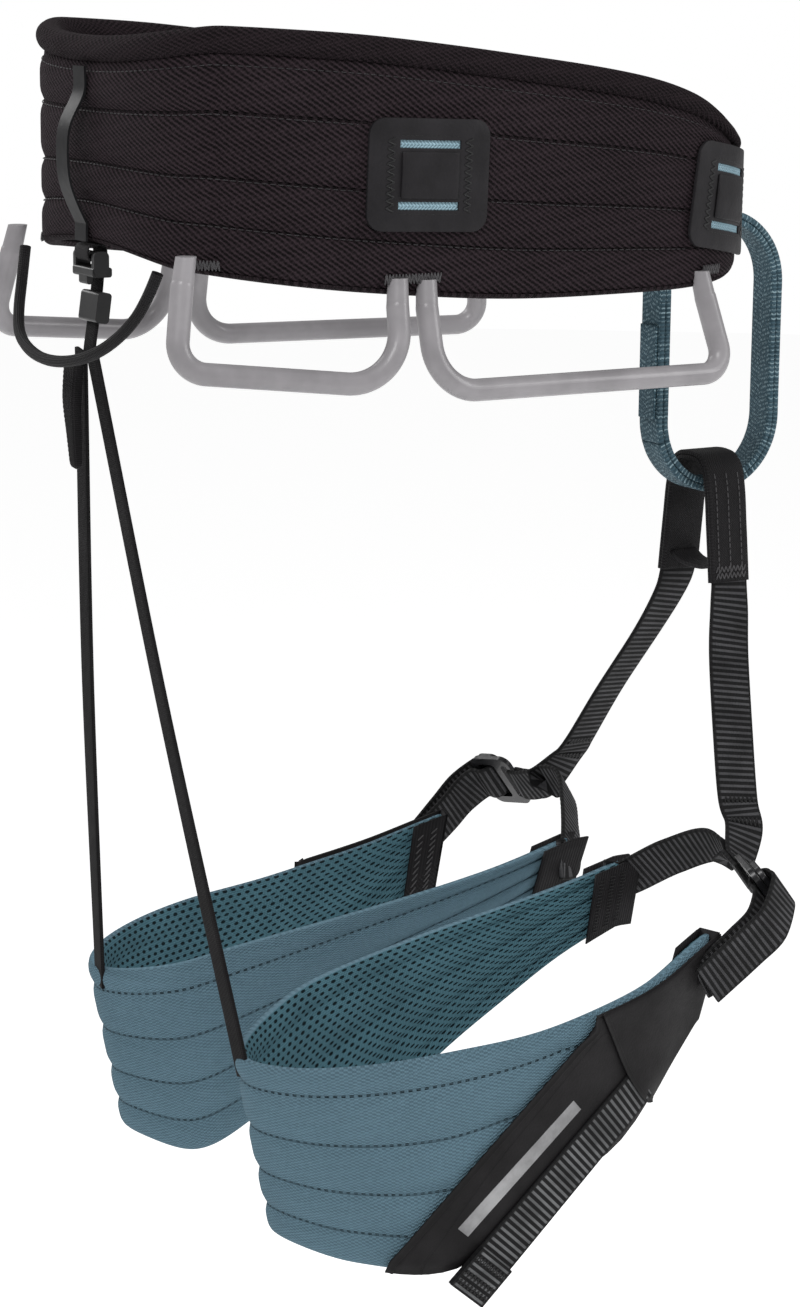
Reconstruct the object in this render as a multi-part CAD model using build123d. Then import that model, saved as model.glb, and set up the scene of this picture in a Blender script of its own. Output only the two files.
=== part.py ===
"""Climbing harness: padded waist belt, moulded gear loops, belay loop, and two adjustable leg loops.

Millimetres, +Z up. The origin is the middle of the waist opening. -Y is the wearer's front, +X the
wearer's left. The right-hand pieces are modelled and the left-hand ones are their mirror images.
"""
from build123d import *
from math import atan2, cos, degrees, radians, sin, tan
import os

# ---------------------------------------------------------------- driving dimensions
# Waist belt: a rounded-square plan with flat sides, seen from above
BELT_HALF_WIDTH = 104.0
BELT_HALF_DEPTH = 150.0
BELT_SQUARENESS = 3.5
BELT_THICKNESS = 11.0
SHELL = 1.2
LINING = 1.0
LOAD_WEB_THICK = 1.1
PLY_GAP = 0.15
ROLL_HEIGHT = 11.0
ROLL_PROUD = 0.9
# Belt edge heights, back to front: (y, top edge, bottom edge, lower side of the rolled binding)
BELT_RIM = [
    (160, 59.0, -37.5, 48.0), (110, 57.0, -44.5, 46.0), (65, 54.0, -49.5, 43.0), (0, 46.5, -54.5, 35.5),
    (-65, 37.0, -55.0, 26.5), (-100, 27.5, -54.5, 18.5), (-125, 14.0, -52.5, 8.0), (-142, 4.0, -48.0, 0.0),
    (-160, -4.0, -42.0, -7.0),
]
LUMBAR_TOP_DIP = 6.5
LUMBAR_BOTTOM_RISE = 4.6
RIGHT_PAD_END_X = -42.0
LEFT_PAD_END_X = 66.0

# Webbing
WAIST_WEB_WIDTH = 25.0
WAIST_WEB_THICK = 1.8
LEG_WEB_WIDTH = 20.0
LEG_WEB_THICK = 2.0
ELASTIC_WIDTH = 10.0
ELASTIC_THICK = 2.0

# Ice-clipper patches: angle round the belt, height of the patch's middle, and its tilt in its own plane
PATCH_WIDTH = 56.0
PATCH_HEIGHT = 46.0
PATCH_THICK = 1.5
PATCH_CORNER = 7.0
SLOT_LENGTH = 28.0
SLOT_HEIGHT = 3.2
SLOT_PITCH = 25.0
REAR_PATCH = (157.5, -2.0, -2.0)
FRONT_PATCH = (233.5, -17.5, -9.0)

# Gear loops: belt points where the tube's ends meet the lower edge, and the two bend radii
GEAR_TUBE_RADIUS = 4.75
GEAR_DROP = 35.0
GEAR_FLARE = 14.0
GEAR_CLEAR = 0.5
REAR_GEAR_LOOP = ((-85.0, 146.0), (-104.0, 57.0), -5.0, 0.0, 12.0, 22.0)
FRONT_GEAR_LOOP = ((-104.0, 43.0), (-96.0, -103.0), 0.0, 6.0, 20.0, 10.0)

# Belay loop: a stadium of stitched webbing, hanging in the middle plane
BELAY_Y = -176.0
BELAY_Z = -97.0
BELAY_RADIUS = 32.0
BELAY_HALF_STRAIGHT = 31.75
BELAY_WIDTH = 16.0
BELAY_THICK = 6.5
TIE_IN_BAR_TOP = -38.4

# Leg tie-in: a stitched sleeve arched over the belay loop's lower bend
SLEEVE_TOP = -146.4
SLEEVE_HALF_WIDTH = 14.0
SLEEVE_END = (-21.0, -205.0)
SLEEVE_Y = -175.0
SLEEVE_BEND = 13.2
SLEEVE_THICK = 4.4

# Leg loops, right leg: plan of the pad's outer face at the reference height, inner tab round to cover
LEG_CENTRE = (-78.0, 20.0)
LEG_PLAN = [
    (-23, -105), (-21, -56), (-22, 0), (-29, 60), (-45, 98), (-72, 118), (-103, 104), (-126, 66),
    (-136, 10), (-132, -50), (-118, -94),
]
LEG_FRONT_CUT = [(20, -110), (20, 150), (-175, 150), (-175, -90)]
LEG_REF_Z = -375.0
LEG_TAPER = 0.0021
LEG_PAD_THICK = 9.5
INNER_EDGES = [
    (122, -379, -462), (90, -373, -470), (60, -365, -458), (0, -355, -419), (-50, -347, -391), (-80, -341, -374),
    (-116, -331, -358),
]
OUTER_EDGES = [
    (122, -379, -462), (90, -376, -470), (40, -371, -474), (0, -368, -457), (-30, -363, -441), (-60, -356, -426),
    (-85, -346, -395), (-101, -339, -371),
]
COVER_EDGE = [(-26, -350), (-24, -372), (76, -470), (74, -490), (-120, -490), (-120, -320)]
COVER_THICK = 1.3

# Leg buckle seat and its axes: run of the strap through it, and the face's outward direction
LEG_BUCKLE_AT = Vector(-110.5, -131.5, -328.0)
LEG_BUCKLE_RUN = Vector(0.86, -0.36, 0.22)
LEG_BUCKLE_FACE = Vector(-0.30, -0.76, 0.58)
WAIST_BUCKLE_X = 45.0
WAIST_WEB_Z = -22.0
TACKS = [(120.0, -37.5, 15.0), (154.5, -44.0, 26.0), (229.0, -47.5, 13.0)]

# Risers
HOOK_Y = 146.5
HOOK_BAR_Z = -38.7
RISER_TIP = (-70.0, 114.0, -374.0)
RISER_TOP = (-5.6, 149.0, -80.0)


# ---------------------------------------------------------------- helpers
def rim_line(part, shift=0.0):
    """Points (y, z) along the belt's top (1), bottom (2), roll (3) or middle (0) line, moved up by shift."""
    if part == 0:
        return [(row[0], (row[1] + row[2]) / 2 + shift) for row in BELT_RIM]
    return [(row[0], row[part] + shift) for row in BELT_RIM]


def side_prism(upper, lower, x_from, x_to):
    """Everything between two side-view curves, given as (y, z) points that share their ends' y."""
    top = Spline(*[(0, y, z) for y, z in upper])
    low = Spline(*[(0, y, z) for y, z in lower])
    ends = [Line(top @ 0, low @ 0), Line(top @ 1, low @ 1)]
    face = Face(Wire([top.edge(), ends[0].edge(), low.edge(), ends[1].edge()]))
    prism = Solid.extrude(face, Vector(x_to - x_from, 0, 0))
    return Pos(x_from, 0, 0) * prism


def belt_point(angle, offset=0.0):
    """Point and outward normal of the belt's plan at a polar angle, moved outward by offset."""
    c = cos(radians(angle))
    s = sin(radians(angle))
    n = BELT_SQUARENESS
    radius = (abs(c / BELT_HALF_WIDTH) ** n + abs(s / BELT_HALF_DEPTH) ** n) ** (-1 / n)
    x = radius * c
    y = radius * s
    gx = abs(x / BELT_HALF_WIDTH) ** (n - 1) / BELT_HALF_WIDTH * (1 if x > 0 else -1)
    gy = abs(y / BELT_HALF_DEPTH) ** (n - 1) / BELT_HALF_DEPTH * (1 if y > 0 else -1)
    normal = Vector(gx, gy, 0).normalized()
    return Vector(x, y, 0) + normal * offset, normal


def belt_outline(offset):
    """Face inside the belt's plan curve at an offset from the outer face."""
    points = [belt_point(5 + 10 * i, offset)[0] for i in range(36)]
    return Face(Wire(Spline(*points, periodic=True).edge()))


def belt_ring(outer, inner, top_shift, bottom_shift, edges=(1, 2)):
    """Closed ring between two offsets, trimmed to the belt's edges moved by the two shifts."""
    ring = belt_outline(outer) - belt_outline(inner)
    body = extrude(Pos(0, 0, -80) * ring, 160)
    top_edge, bottom_edge = edges
    body = body & side_prism(rim_line(top_edge, top_shift), rim_line(bottom_edge, bottom_shift), -140, 140)
    return body


def lumbar_cut(shift, low=False):
    """Shallow arc taken out of the back of the belt's upper or lower edge."""
    if low:
        edge_z = -36.0 + shift
        arc = ThreePointArc((-62, 0, edge_z - 3.6), (0, 0, edge_z + LUMBAR_BOTTOM_RISE - 2.0), (62, 0, edge_z - 3.6))
        far_z = edge_z - 30
    else:
        edge_z = 58.6 + shift
        arc = ThreePointArc((-100, 0, edge_z + 2.6), (0, 0, edge_z - LUMBAR_TOP_DIP), (100, 0, edge_z + 2.6))
        far_z = edge_z + 30
    corners = Polyline(arc @ 1, (arc @ 1).X * Vector(1, 0, 0) + Vector(0, 0, far_z),
                       (arc @ 0).X * Vector(1, 0, 0) + Vector(0, 0, far_z), arc @ 0)
    face = Face(Wire([arc.edge()] + list(corners.edges())))
    return Pos(0, 100, 0) * Solid.extrude(face, Vector(0, 80, 0))


def open_front(body, clear=0.0):
    """Take away the front span between the two padded ends."""
    width = LEFT_PAD_END_X - RIGHT_PAD_END_X + 2 * clear
    middle = (LEFT_PAD_END_X + RIGHT_PAD_END_X) / 2
    return body - Pos(middle, -150, 0) * Box(width, 90, 200)


def belt_layer(outer, inner):
    """One ply of the belt, from its lower edge up to the rolled binding."""
    body = open_front(belt_ring(outer, inner, -PLY_GAP, 0, (3, 2)))
    return body - lumbar_cut(-ROLL_HEIGHT - PLY_GAP) - lumbar_cut(0, low=True)


def webbing(stations, width, thick, ruled=False):
    """Flat strap lofted through stations of (centre, run direction, width direction)."""
    faces = []
    for centre, run, across in stations:
        run = Vector(*run).normalized()
        across = Vector(*across)
        across = (across - run * across.dot(run)).normalized()
        plane = Plane(origin=Vector(*centre), x_dir=across, z_dir=run)
        faces.append(plane * Rectangle(width, thick))
    return loft([face.face() for face in faces], ruled=ruled)


def strap_through(points, acrosses, width, thick, ruled=False):
    """Strap through points; the run at each point follows its neighbours."""
    stations = []
    last = len(points) - 1
    for i, point in enumerate(points):
        run = Vector(*points[min(i + 1, last)]) - Vector(*points[max(i - 1, 0)])
        stations.append((point, tuple(run), acrosses[i]))
    return webbing(stations, width, thick, ruled)


def tube(path, radius):
    """Round bar along a path."""
    return sweep(Plane(origin=path @ 0, z_dir=path % 0) * Circle(radius), path=path)


def one(shape):
    """The single solid of a shape."""
    solids = shape.solids()
    return max(solids, key=lambda s: s.volume)


def left_of(shape):
    """Mirror image across the middle plane."""
    return mirror(shape, about=Plane.YZ)


# ---------------------------------------------------------------- waist belt
def belt_foam():
    return belt_layer(-SHELL - 2 * PLY_GAP - LOAD_WEB_THICK, -BELT_THICKNESS + LINING + PLY_GAP)


def belt_lining():
    return belt_layer(-BELT_THICKNESS + LINING, -BELT_THICKNESS)


def belt_top_roll():
    """Rolled binding along the top rim, proud of the face on both sides, with rounded edges."""
    roll = open_front(belt_ring(ROLL_PROUD, -BELT_THICKNESS - ROLL_PROUD, 0, -LUMBAR_TOP_DIP, (1, 3)))
    below = open_front(belt_ring(20, -30, 0, -20, (3, 3))) - lumbar_cut(-ROLL_HEIGHT)
    return roll - below - lumbar_cut(0)


def patch_plane(angle, height):
    point, normal = belt_point(angle)
    return Plane(origin=point + Vector(0, 0, height), x_dir=Vector(0, 0, 1).cross(normal), z_dir=normal)


def slot_pair(angle, height, tilt):
    """Two level slots, one above the other, as a cutter through the patch and the shell."""
    plane = patch_plane(angle, height)
    slots = Sketch() + [Pos(0, side * SLOT_PITCH / 2) * SlotOverall(SLOT_LENGTH, SLOT_HEIGHT) for side in (-1, 1)]
    return extrude(plane * Rot(0, 0, tilt) * slots, 9, both=True)


def clip_patch(angle, height, tilt):
    """Rubber-faced patch for an ice clipper: rounded rectangle that follows the belt's face."""
    plane = patch_plane(angle, height)
    blank = extrude(plane * Rot(0, 0, tilt) * RectangleRounded(PATCH_WIDTH, PATCH_HEIGHT, PATCH_CORNER), 16, both=True)
    skin = belt_outline(0.25 + PATCH_THICK) - belt_outline(0.25)
    ring = extrude(Pos(0, 0, -80) * skin, 160)
    return one((ring & blank) - slot_pair(angle, height, tilt))


def belt_shell():
    """Outer face fabric, slotted behind each clip patch."""
    shell = belt_layer(0, -SHELL)
    for patch in (REAR_PATCH, FRONT_PATCH):
        cutter = slot_pair(*patch)
        shell = shell - cutter - left_of(cutter)
    return shell


def load_web(shift_low, shift_high):
    """Sewn-in load webbing between the shell and the foam."""
    outer = -SHELL - PLY_GAP
    band = belt_ring(outer, outer - LOAD_WEB_THICK, shift_high, shift_low, (0, 0))
    return open_front(band & belt_ring(5, -30, -0.4, 0.4, (3, 2)))


def back_strip():
    """Smooth strip sewn at the belt's edges and arched off the face between them."""
    back = BELT_HALF_DEPTH
    foot = 0.9
    arc_y = back + 9.0
    points = [(back + foot, 39.5), (back + foot, 30), (arc_y - 1.5, 16), (arc_y, 2), (arc_y - 1.5, -10),
              (back + foot, -25), (back + foot, -33)]
    line = Spline(*[(0, y, z) for y, z in points], tangents=[(0, 0, -1), (0, 0, -1)])
    strip = sweep(Plane(origin=line @ 0, z_dir=line % 0, x_dir=(1, 0, 0)) * Rectangle(11, 1.0), path=line)
    return strip


def riser_anchor():
    """Loop of webbing under the back of the belt that carries the riser hook."""
    wall = 1.0
    middle = Pos(HOOK_Y, -38.1)
    outer = Plane.YZ * (middle * RectangleRounded(9.6, 8.2, 2.2))
    inner = Plane.YZ * (middle * RectangleRounded(9.6 - 2 * wall, 8.2 - 2 * wall, 1.4))
    return extrude(outer - inner, 6.5, both=True)


# ---------------------------------------------------------------- front closure
def front_y(x, offset):
    """y of the belt plan's front at x, moved outward."""
    n = BELT_SQUARENESS
    y = -BELT_HALF_DEPTH * (1 - abs(x / BELT_HALF_WIDTH) ** n) ** (1 / n)
    return y - offset


def waist_buckle_plane():
    """Seat of the waist buckle: local x points to the middle of the front, z away from the wearer."""
    return Plane(origin=(WAIST_BUCKLE_X, front_y(WAIST_BUCKLE_X, 3.2), WAIST_WEB_Z), x_dir=(-1, 0.13, 0),
                 z_dir=(0.13, -1, 0))


def front_strap():
    """Front webbing: out of the right pad's end, across the middle, to the buckle's anchor bar."""
    xs = [RIGHT_PAD_END_X + 0.4, -20, 0, 18]
    offs = [-5.5, -2.0, -1.0, 0.0]
    points = [(x, front_y(x, off), WAIST_WEB_Z) for x, off in zip(xs, offs)]
    points.append(tuple(waist_buckle_plane().from_local_coords(Vector(11.6, 0, -1.5))))
    return strap_through(points, [(0, 0, 1)] * len(points), WAIST_WEB_WIDTH, WAIST_WEB_THICK)


def waist_adjust_strap():
    """Strap from inside the left pad's end, up round the buckle and back along the pad to its free end."""
    plane = waist_buckle_plane()
    stations = [((LEFT_PAD_END_X - 0.5, front_y(LEFT_PAD_END_X, -6.0), WAIST_WEB_Z), (-1, -0.3, 0), (0, 0, 1))]
    stations += hairpin(plane, (0, 0, 1))
    for angle, offset in ((-61, 5.4), (-56.5, 4.0), (-52, 3.6), (-46, 3.6), (-40, 3.6), (-33, 3.6)):
        point, normal = belt_point(angle, offset)
        stations.append((tuple(point + Vector(0, 0, WAIST_WEB_Z)), tuple(Vector(0, 0, 1).cross(normal)), (0, 0, 1)))
    return webbing(stations, WAIST_WEB_WIDTH, WAIST_WEB_THICK, ruled=True)


def tail_keeper():
    """Elastic bridge that holds the waist strap's free end against the left side of the belt."""
    plane = patch_plane(-40, WAIST_WEB_Z)
    blank = extrude(plane * RectangleRounded(14, WAIST_WEB_WIDTH + 9, 2), 12, both=True)
    room = extrude(plane * Rectangle(30, WAIST_WEB_WIDTH + 1.2), 12, both=True)
    bridge = extrude(Pos(0, 0, -80) * (belt_outline(5.9) - belt_outline(4.9)), 160) & blank
    feet = extrude(Pos(0, 0, -80) * (belt_outline(5.9) - belt_outline(0.25)), 160) & (blank - room)
    return one(bridge + feet)


def bar_tacks():
    """Raised blocks of stitching on the belt's lower edge, over the gear loops' ends."""
    shapes = []
    skin = extrude(Pos(0, 0, -80) * (belt_outline(0.75) - belt_outline(0.1)), 160)
    for angle, height, width in TACKS:
        block = skin & extrude(patch_plane(angle, height) * RectangleRounded(width, 4.5, 1.2), 9, both=True)
        shapes += [one(block), one(left_of(block))]
    return Compound(children=shapes)


def tie_in_loop():
    """Bridge of doubled webbing that stands off the front strap and carries the belay loop."""
    strap_face = BELT_HALF_DEPTH + 1.9
    depth = -BELAY_Y - strap_face
    height = 13.0
    reach = 30.0
    path = FilletPolyline((-reach, -strap_face - 0.2, 0), (-19, -strap_face - depth * 0.74, 0), (-9.0, BELAY_Y, 0),
                          (9.0, BELAY_Y, 0), (19, -strap_face - depth * 0.74, 0), (reach, -strap_face - 0.2, 0),
                          radius=6)
    z = TIE_IN_BAR_TOP - height / 2
    section = Plane(origin=path @ 0, z_dir=path % 0, x_dir=(0, 0, 1)) * Rectangle(height, 3.6)
    return Pos(0, 0, z) * sweep(section, path=path)


# ---------------------------------------------------------------- two-piece buckles
HAIRPIN_CENTRE = (-8.0, 2.9)
HAIRPIN_RADIUS = 5.2


def hairpin(plane, across, steps=6):
    """Strap stations under the buckle's rear bars, up through both windows and back over them."""
    cx, cz = HAIRPIN_CENTRE
    local = [(-14.0, cz - HAIRPIN_RADIUS, 1, 0)]
    for i in range(steps + 1):
        a = radians(-90 + 180 * i / steps)
        local.append((cx + HAIRPIN_RADIUS * cos(a), cz + HAIRPIN_RADIUS * sin(a), -sin(a), cos(a)))
    local.append((-14.5, cz + HAIRPIN_RADIUS - 0.4, -1, -0.12))
    stations = []
    for x, z, run_x, run_z in local:
        run = plane.x_dir * run_x + plane.z_dir * run_z
        stations.append((tuple(plane.from_local_coords(Vector(x, 0, z))), tuple(run), tuple(across)))
    return stations


def buckle_frame(web, plane):
    """Forged base ring: an anchor slot on one side and the large strap window on the other."""
    wide = web + 12.0
    long = 25.0
    body = extrude(RectangleRounded(long, wide, 5.5), 2.8)
    window = Pos(-3.9, 0) * RectangleRounded(11.2, web + 3.0, 2.0)
    anchor = Pos(8.1, 0) * RectangleRounded(4.4, web + 2.4, 1.6)
    body -= extrude(Sketch() + [window, anchor], 2.8)
    body = fillet(body.edges().group_by(Axis.Z)[-1], 0.7)
    return plane * body


def buckle_plate(web, plane):
    """Second ring that rides on the base and pinches the strap; its front bar is turned up."""
    wide = web + 9.0
    body = extrude(RectangleRounded(15.5, wide, 5.0), 2.4)
    body -= extrude(Pos(0.6, 0) * RectangleRounded(6.6, web + 2.6, 1.8), 2.4)
    body = fillet(body.edges().group_by(Axis.Z)[-1], 0.7)
    return plane * Pos(-4.6, 0, 3.3) * body


# ---------------------------------------------------------------- gear loops
def edge_z(y):
    """Height of the belt's lower edge at y, by straight interpolation."""
    for (y1, _, z1, _), (y0, _, z0, _) in zip(BELT_RIM, BELT_RIM[1:]):
        if y0 <= y <= y1:
            return z0 + (z1 - z0) * (y - y0) / (y1 - y0)
    return BELT_RIM[0][2]


def gear_loop(spec):
    """Moulded tube with two legs and a long lower run, flared away from the hip."""
    start, end, reach_a, reach_b, bend_a, bend_b = spec
    a = Vector(start[0], start[1], edge_z(start[1]) - GEAR_TUBE_RADIUS - GEAR_CLEAR)
    b = Vector(end[0], end[1], edge_z(end[1]) - GEAR_TUBE_RADIUS - GEAR_CLEAR)
    chord = (b - a).normalized()
    outward = Vector(0, 0, 1).cross(chord)
    if outward.X > 0:
        outward = outward * -1
    hang = outward * sin(radians(GEAR_FLARE)) + Vector(0, 0, -cos(radians(GEAR_FLARE)))
    corner_a = a + chord * reach_a + hang * GEAR_DROP
    corner_b = b + chord * reach_b + hang * (GEAR_DROP - 2)
    path = FilletPolyline(a, corner_a, corner_b, b, radius=[bend_a, bend_b])
    body = tube(path, GEAR_TUBE_RADIUS)
    return body + Pos(*a) * Sphere(GEAR_TUBE_RADIUS) + Pos(*b) * Sphere(GEAR_TUBE_RADIUS)


# ---------------------------------------------------------------- haul loop
HAUL_RADIUS = 2.5
HAUL_ROUTE = [
    (66, 147.5, -41), (62, 151, -54), (53, 157, -67), (38, 163.5, -77), (13, 167, -82.5),
    (-13, 167, -82.5), (-38, 163.5, -77), (-53, 157, -67), (-62, 151, -54), (-66, 147.5, -41),
]


def route_radii(points):
    """Largest tangent-arc radius at each corner of a route: 0.45 of the shorter run over tan(half turn)."""
    radii = []
    for before, here, after in zip(points, points[1:], points[2:]):
        run_in = Vector(*here) - Vector(*before)
        run_out = Vector(*after) - Vector(*here)
        turn = radians(run_in.get_angle(run_out))
        radii.append(0.45 * min(run_in.length, run_out.length) / tan(turn / 2))
    return radii


def haul_loop():
    radii = route_radii(HAUL_ROUTE)
    print("haul loop radii", [round(r, 1) for r in radii])
    path = FilletPolyline(*HAUL_ROUTE, radius=radii)
    cord = tube(path, HAUL_RADIUS)
    print("haul loop length", round(path.length, 1), "volume ratio",
          round(cord.volume / (path.length * 3.14159 * HAUL_RADIUS ** 2), 4))
    return cord


# ---------------------------------------------------------------- belay loop and leg tie-in
def belay_loop():
    length = 2 * (BELAY_HALF_STRAIGHT + BELAY_RADIUS)
    ring = SlotOverall(length + BELAY_THICK, 2 * BELAY_RADIUS + BELAY_THICK)
    ring -= SlotOverall(length - BELAY_THICK, 2 * BELAY_RADIUS - BELAY_THICK)
    ring = Plane.YZ * Pos(BELAY_Y, BELAY_Z) * Rot(0, 0, 90) * ring
    body = extrude(ring, BELAY_WIDTH / 2, both=True)
    rims = body.edges().filter_by(lambda e: abs(abs(e.center().X) - BELAY_WIDTH / 2) < 0.01)
    return fillet(rims, 1.2)


def belay_tack():
    """Stitched cover over the belay loop's webbing joint, on the strand nearest the belt."""
    back = BELAY_Y + BELAY_RADIUS + BELAY_THICK / 2
    return Pos(0, back + 0.85, BELAY_Z - 8) * Box(13, 1.4, 44)


def tie_in_sleeve():
    end_x, end_z = SLEEVE_END
    path = FilletPolyline((end_x, SLEEVE_Y, end_z), (-SLEEVE_HALF_WIDTH, SLEEVE_Y, SLEEVE_TOP),
                          (SLEEVE_HALF_WIDTH, SLEEVE_Y, SLEEVE_TOP), (-end_x, SLEEVE_Y, end_z), radius=SLEEVE_BEND)
    section = Plane(origin=path @ 0, z_dir=path % 0, x_dir=(0, 1, 0)) * Rectangle(LEG_WEB_WIDTH + 1.5, SLEEVE_THICK)
    return sweep(section, path=path)


def cross_strap():
    """Short strap that closes the leg tie-in below the belay loop."""
    end = -SLEEVE_END[0] - 4.2
    points = [(-end, SLEEVE_Y, -196), (-8, SLEEVE_Y, -199.5), (8, SLEEVE_Y, -199.5), (end, SLEEVE_Y, -196)]
    return strap_through(points, [(0, 1, 0)] * 4, 15, 2.4)


def leg_strap():
    """Ribbed strap from the tie-in sleeve down to the leg loop's front band."""
    points = [(-21.15, -175, -206.3), (-22.6, -174.8, -214), (-34, -167, -238), (-52, -157.5, -270), (-67, -150, -298), (-71.5, -147.3, -310)]
    across = [(0, 1, 0), (0, 1, 0), (-0.1, 1, -0.1), (-0.3, 0.9, -0.2), (-0.55, 0.55, -0.4), (-0.7, 0.35, -0.55)]
    return strap_through(points, across, LEG_WEB_WIDTH, LEG_WEB_THICK)


def front_band():
    """Leg loop's front webbing: from the inner tab past the strap's foot to the buckle's anchor bar."""
    plane = leg_buckle_plane()
    lead = tuple(plane.from_local_coords(Vector(19, 0, -1.9)))
    anchor = tuple(plane.from_local_coords(Vector(11.4, 0, -1.5)))
    slant = tuple(plane.y_dir)
    points = [(-23.5, -117.5, -343.5), (-44, -130, -329), (-66, -139.5, -319.5), lead, anchor]
    across = [(0.1, -0.4, -0.85), (0.1, -0.4, -0.85), (0, -0.5, -0.8), slant, slant]
    return strap_through(points, across, LEG_WEB_WIDTH, LEG_WEB_THICK)


def leg_buckle_plane():
    run = LEG_BUCKLE_RUN - LEG_BUCKLE_FACE * LEG_BUCKLE_RUN.dot(LEG_BUCKLE_FACE) / LEG_BUCKLE_FACE.length ** 2
    return Plane(origin=LEG_BUCKLE_AT, x_dir=run, z_dir=LEG_BUCKLE_FACE)


# ---------------------------------------------------------------- leg pads
def leg_outline(offset, z):
    """Right leg plan face at a height, narrowed below the reference height and grown by offset."""
    cx, cy = LEG_CENTRE
    scale = 1 + (z - LEG_REF_Z) * LEG_TAPER
    points = [(cx + (x - cx) * scale, cy + (y - cy) * scale) for x, y in LEG_PLAN]
    grown = []
    last = len(points) - 1
    for i, (x, y) in enumerate(points):
        ahead = points[min(i + 1, last)]
        behind = points[max(i - 1, 0)]
        tangent = Vector(ahead[0] - behind[0], ahead[1] - behind[1], 0).normalized()
        outward = Vector(tangent.Y, -tangent.X, 0)
        grown.append(Vector(x, y, z) + outward * offset)
    grown.insert(0, grown[0] + (grown[0] - grown[1]).normalized() * 22)
    grown.append(grown[-1] + (grown[-1] - grown[-2]).normalized() * 22)
    curve = Spline(*grown)
    return Face(Wire([curve.edge(), Line(curve @ 1, curve @ 0).edge()]))


def leg_wall(outer, inner):
    """Open wall round the thigh between two offsets, before its edges are trimmed."""
    heights = (-325.0, -505.0)
    solid = loft([leg_outline(outer, z) for z in heights], ruled=True)
    solid -= loft([leg_outline(inner, z) for z in (heights[0] + 6, heights[1] - 6)], ruled=True)
    keep = Face(Wire(Polyline(*[(x, y, -520) for x, y in LEG_FRONT_CUT], close=True).edges()))
    return solid & Solid.extrude(keep, Vector(0, 0, 210))


def leg_trim(shift_top=0.0, shift_bottom=0.0):
    """Space between the pad's upper and lower edges: one profile each side of the leg's middle plane."""
    mid = LEG_CENTRE[0]
    spaces = []
    for rows, x_from, x_to in ((INNER_EDGES, mid, 10.0), (OUTER_EDGES, -165.0, mid)):
        upper = [(y, top + shift_top) for y, top, _ in rows]
        lower = [(y, low + shift_bottom) for y, _, low in rows]
        spaces.append(side_prism(upper, lower, x_from, x_to))
    return spaces


def leg_layer(outer, inner):
    wall = leg_wall(outer, inner)
    halves = [wall & space for space in leg_trim()]
    return one(halves[0] + halves[1])


def cover_space():
    """Side-view region of the smooth cover at the outer front of the pad."""
    face = Face(Wire(Polyline(*[(0, y, z) for y, z in COVER_EDGE], close=True).edges()))
    return Pos(-165, 0, 0) * Solid.extrude(face, Vector(165 + LEG_CENTRE[0], 0, 0))


def leg_cover():
    wall = leg_wall(0.2 + COVER_THICK, 0.2)
    return one(wall & leg_trim()[1] & cover_space())


def leg_adjust_strap():
    """Strap sewn to the pad under the cover, round the buckle and back to the cover's mouth."""
    plane = leg_buckle_plane()
    across = tuple(plane.y_dir)
    stations = [
        ((-126.2, -96, -357.5), (0.05, -0.8, 0.55), (0, -0.55, -0.83)),
        ((-127.4, -110, -347), (-0.1, -0.8, 0.6), (-0.1, -0.55, -0.83)),
        ((-128.2, -119.5, -339), (0.15, -0.8, 0.55), (-0.2, -0.5, -0.82)),
    ]
    stations += hairpin(plane, across)
    stations += [
        ((-135.0, -122.0, -336.5), (-0.3, 0.8, -0.5), (-0.2, -0.5, -0.82)),
        ((-133.6, -110.0, -346.5), (0.1, 0.8, -0.58), (-0.1, -0.55, -0.83)),
        ((-131.2, -97, -357.0), (0.2, 0.8, -0.55), (0, -0.55, -0.83)),
    ]
    return webbing(stations, LEG_WEB_WIDTH, LEG_WEB_THICK, ruled=True)


def leg_strap_tail():
    """Free end of the adjusting strap, out of the cover's lower mouth and down across the pad."""
    start = Vector(0, -50, -411)
    end = Vector(0, 33, -486)
    run = (end - start).normalized()
    across = Vector(0, -run.Z, run.Y) * (LEG_WEB_WIDTH / 2)
    corners = [start + across, end + across, end - across, start - across]
    face = Face(Wire(Polyline(*corners, close=True).edges()))
    region = Pos(-165, 0, 0) * Solid.extrude(face, Vector(165 + LEG_CENTRE[0], 0, 0))
    return one(leg_wall(3.7, 1.9) & region)


def leg_inner_tab():
    """Webbing cap sewn over the pad's inner front end."""
    cap = leg_wall(1.2, 0.2) & leg_trim()[0]
    return one(cap & Pos(-20, -150, -345) * Box(60, 116, 100))


# ---------------------------------------------------------------- risers
def riser_hook():
    """Moulded hook: a bar in the belt's loop, two cheeks, and a down-turned prong behind."""
    bar = Pos(0, HOOK_Y, HOOK_BAR_Z) * Rot(0, 90, 0) * Cylinder(1.5, 21)
    cheek = Plane.YZ * (Pos(HOOK_Y, -42.2) * RectangleRounded(7.0, 10.4, 2.4))
    cheeks = [extrude(Pos(x, 0, 0) * cheek, 1.3, both=True) for x in (-9.2, 9.2)]
    body = Plane.YZ * (Pos(HOOK_Y - 0.5, -45.9) * RectangleRounded(9.0, 4.2, 1.2))
    prong = Plane.YZ * (Pos(HOOK_Y + 2.6, -47.6) * RectangleRounded(2.6, 7.2, 1.2))
    return bar + cheeks + extrude(body, 10.0, both=True) + extrude(prong, 4.0, both=True)


def riser_top_strap():
    points = [(0, HOOK_Y - 3.1, -48.4), (0, HOOK_Y - 1.8, -60), (0, HOOK_Y + 1.0, -78)]
    return strap_through(points, [(1, 0, 0)] * 3, ELASTIC_WIDTH, 1.6)


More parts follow.
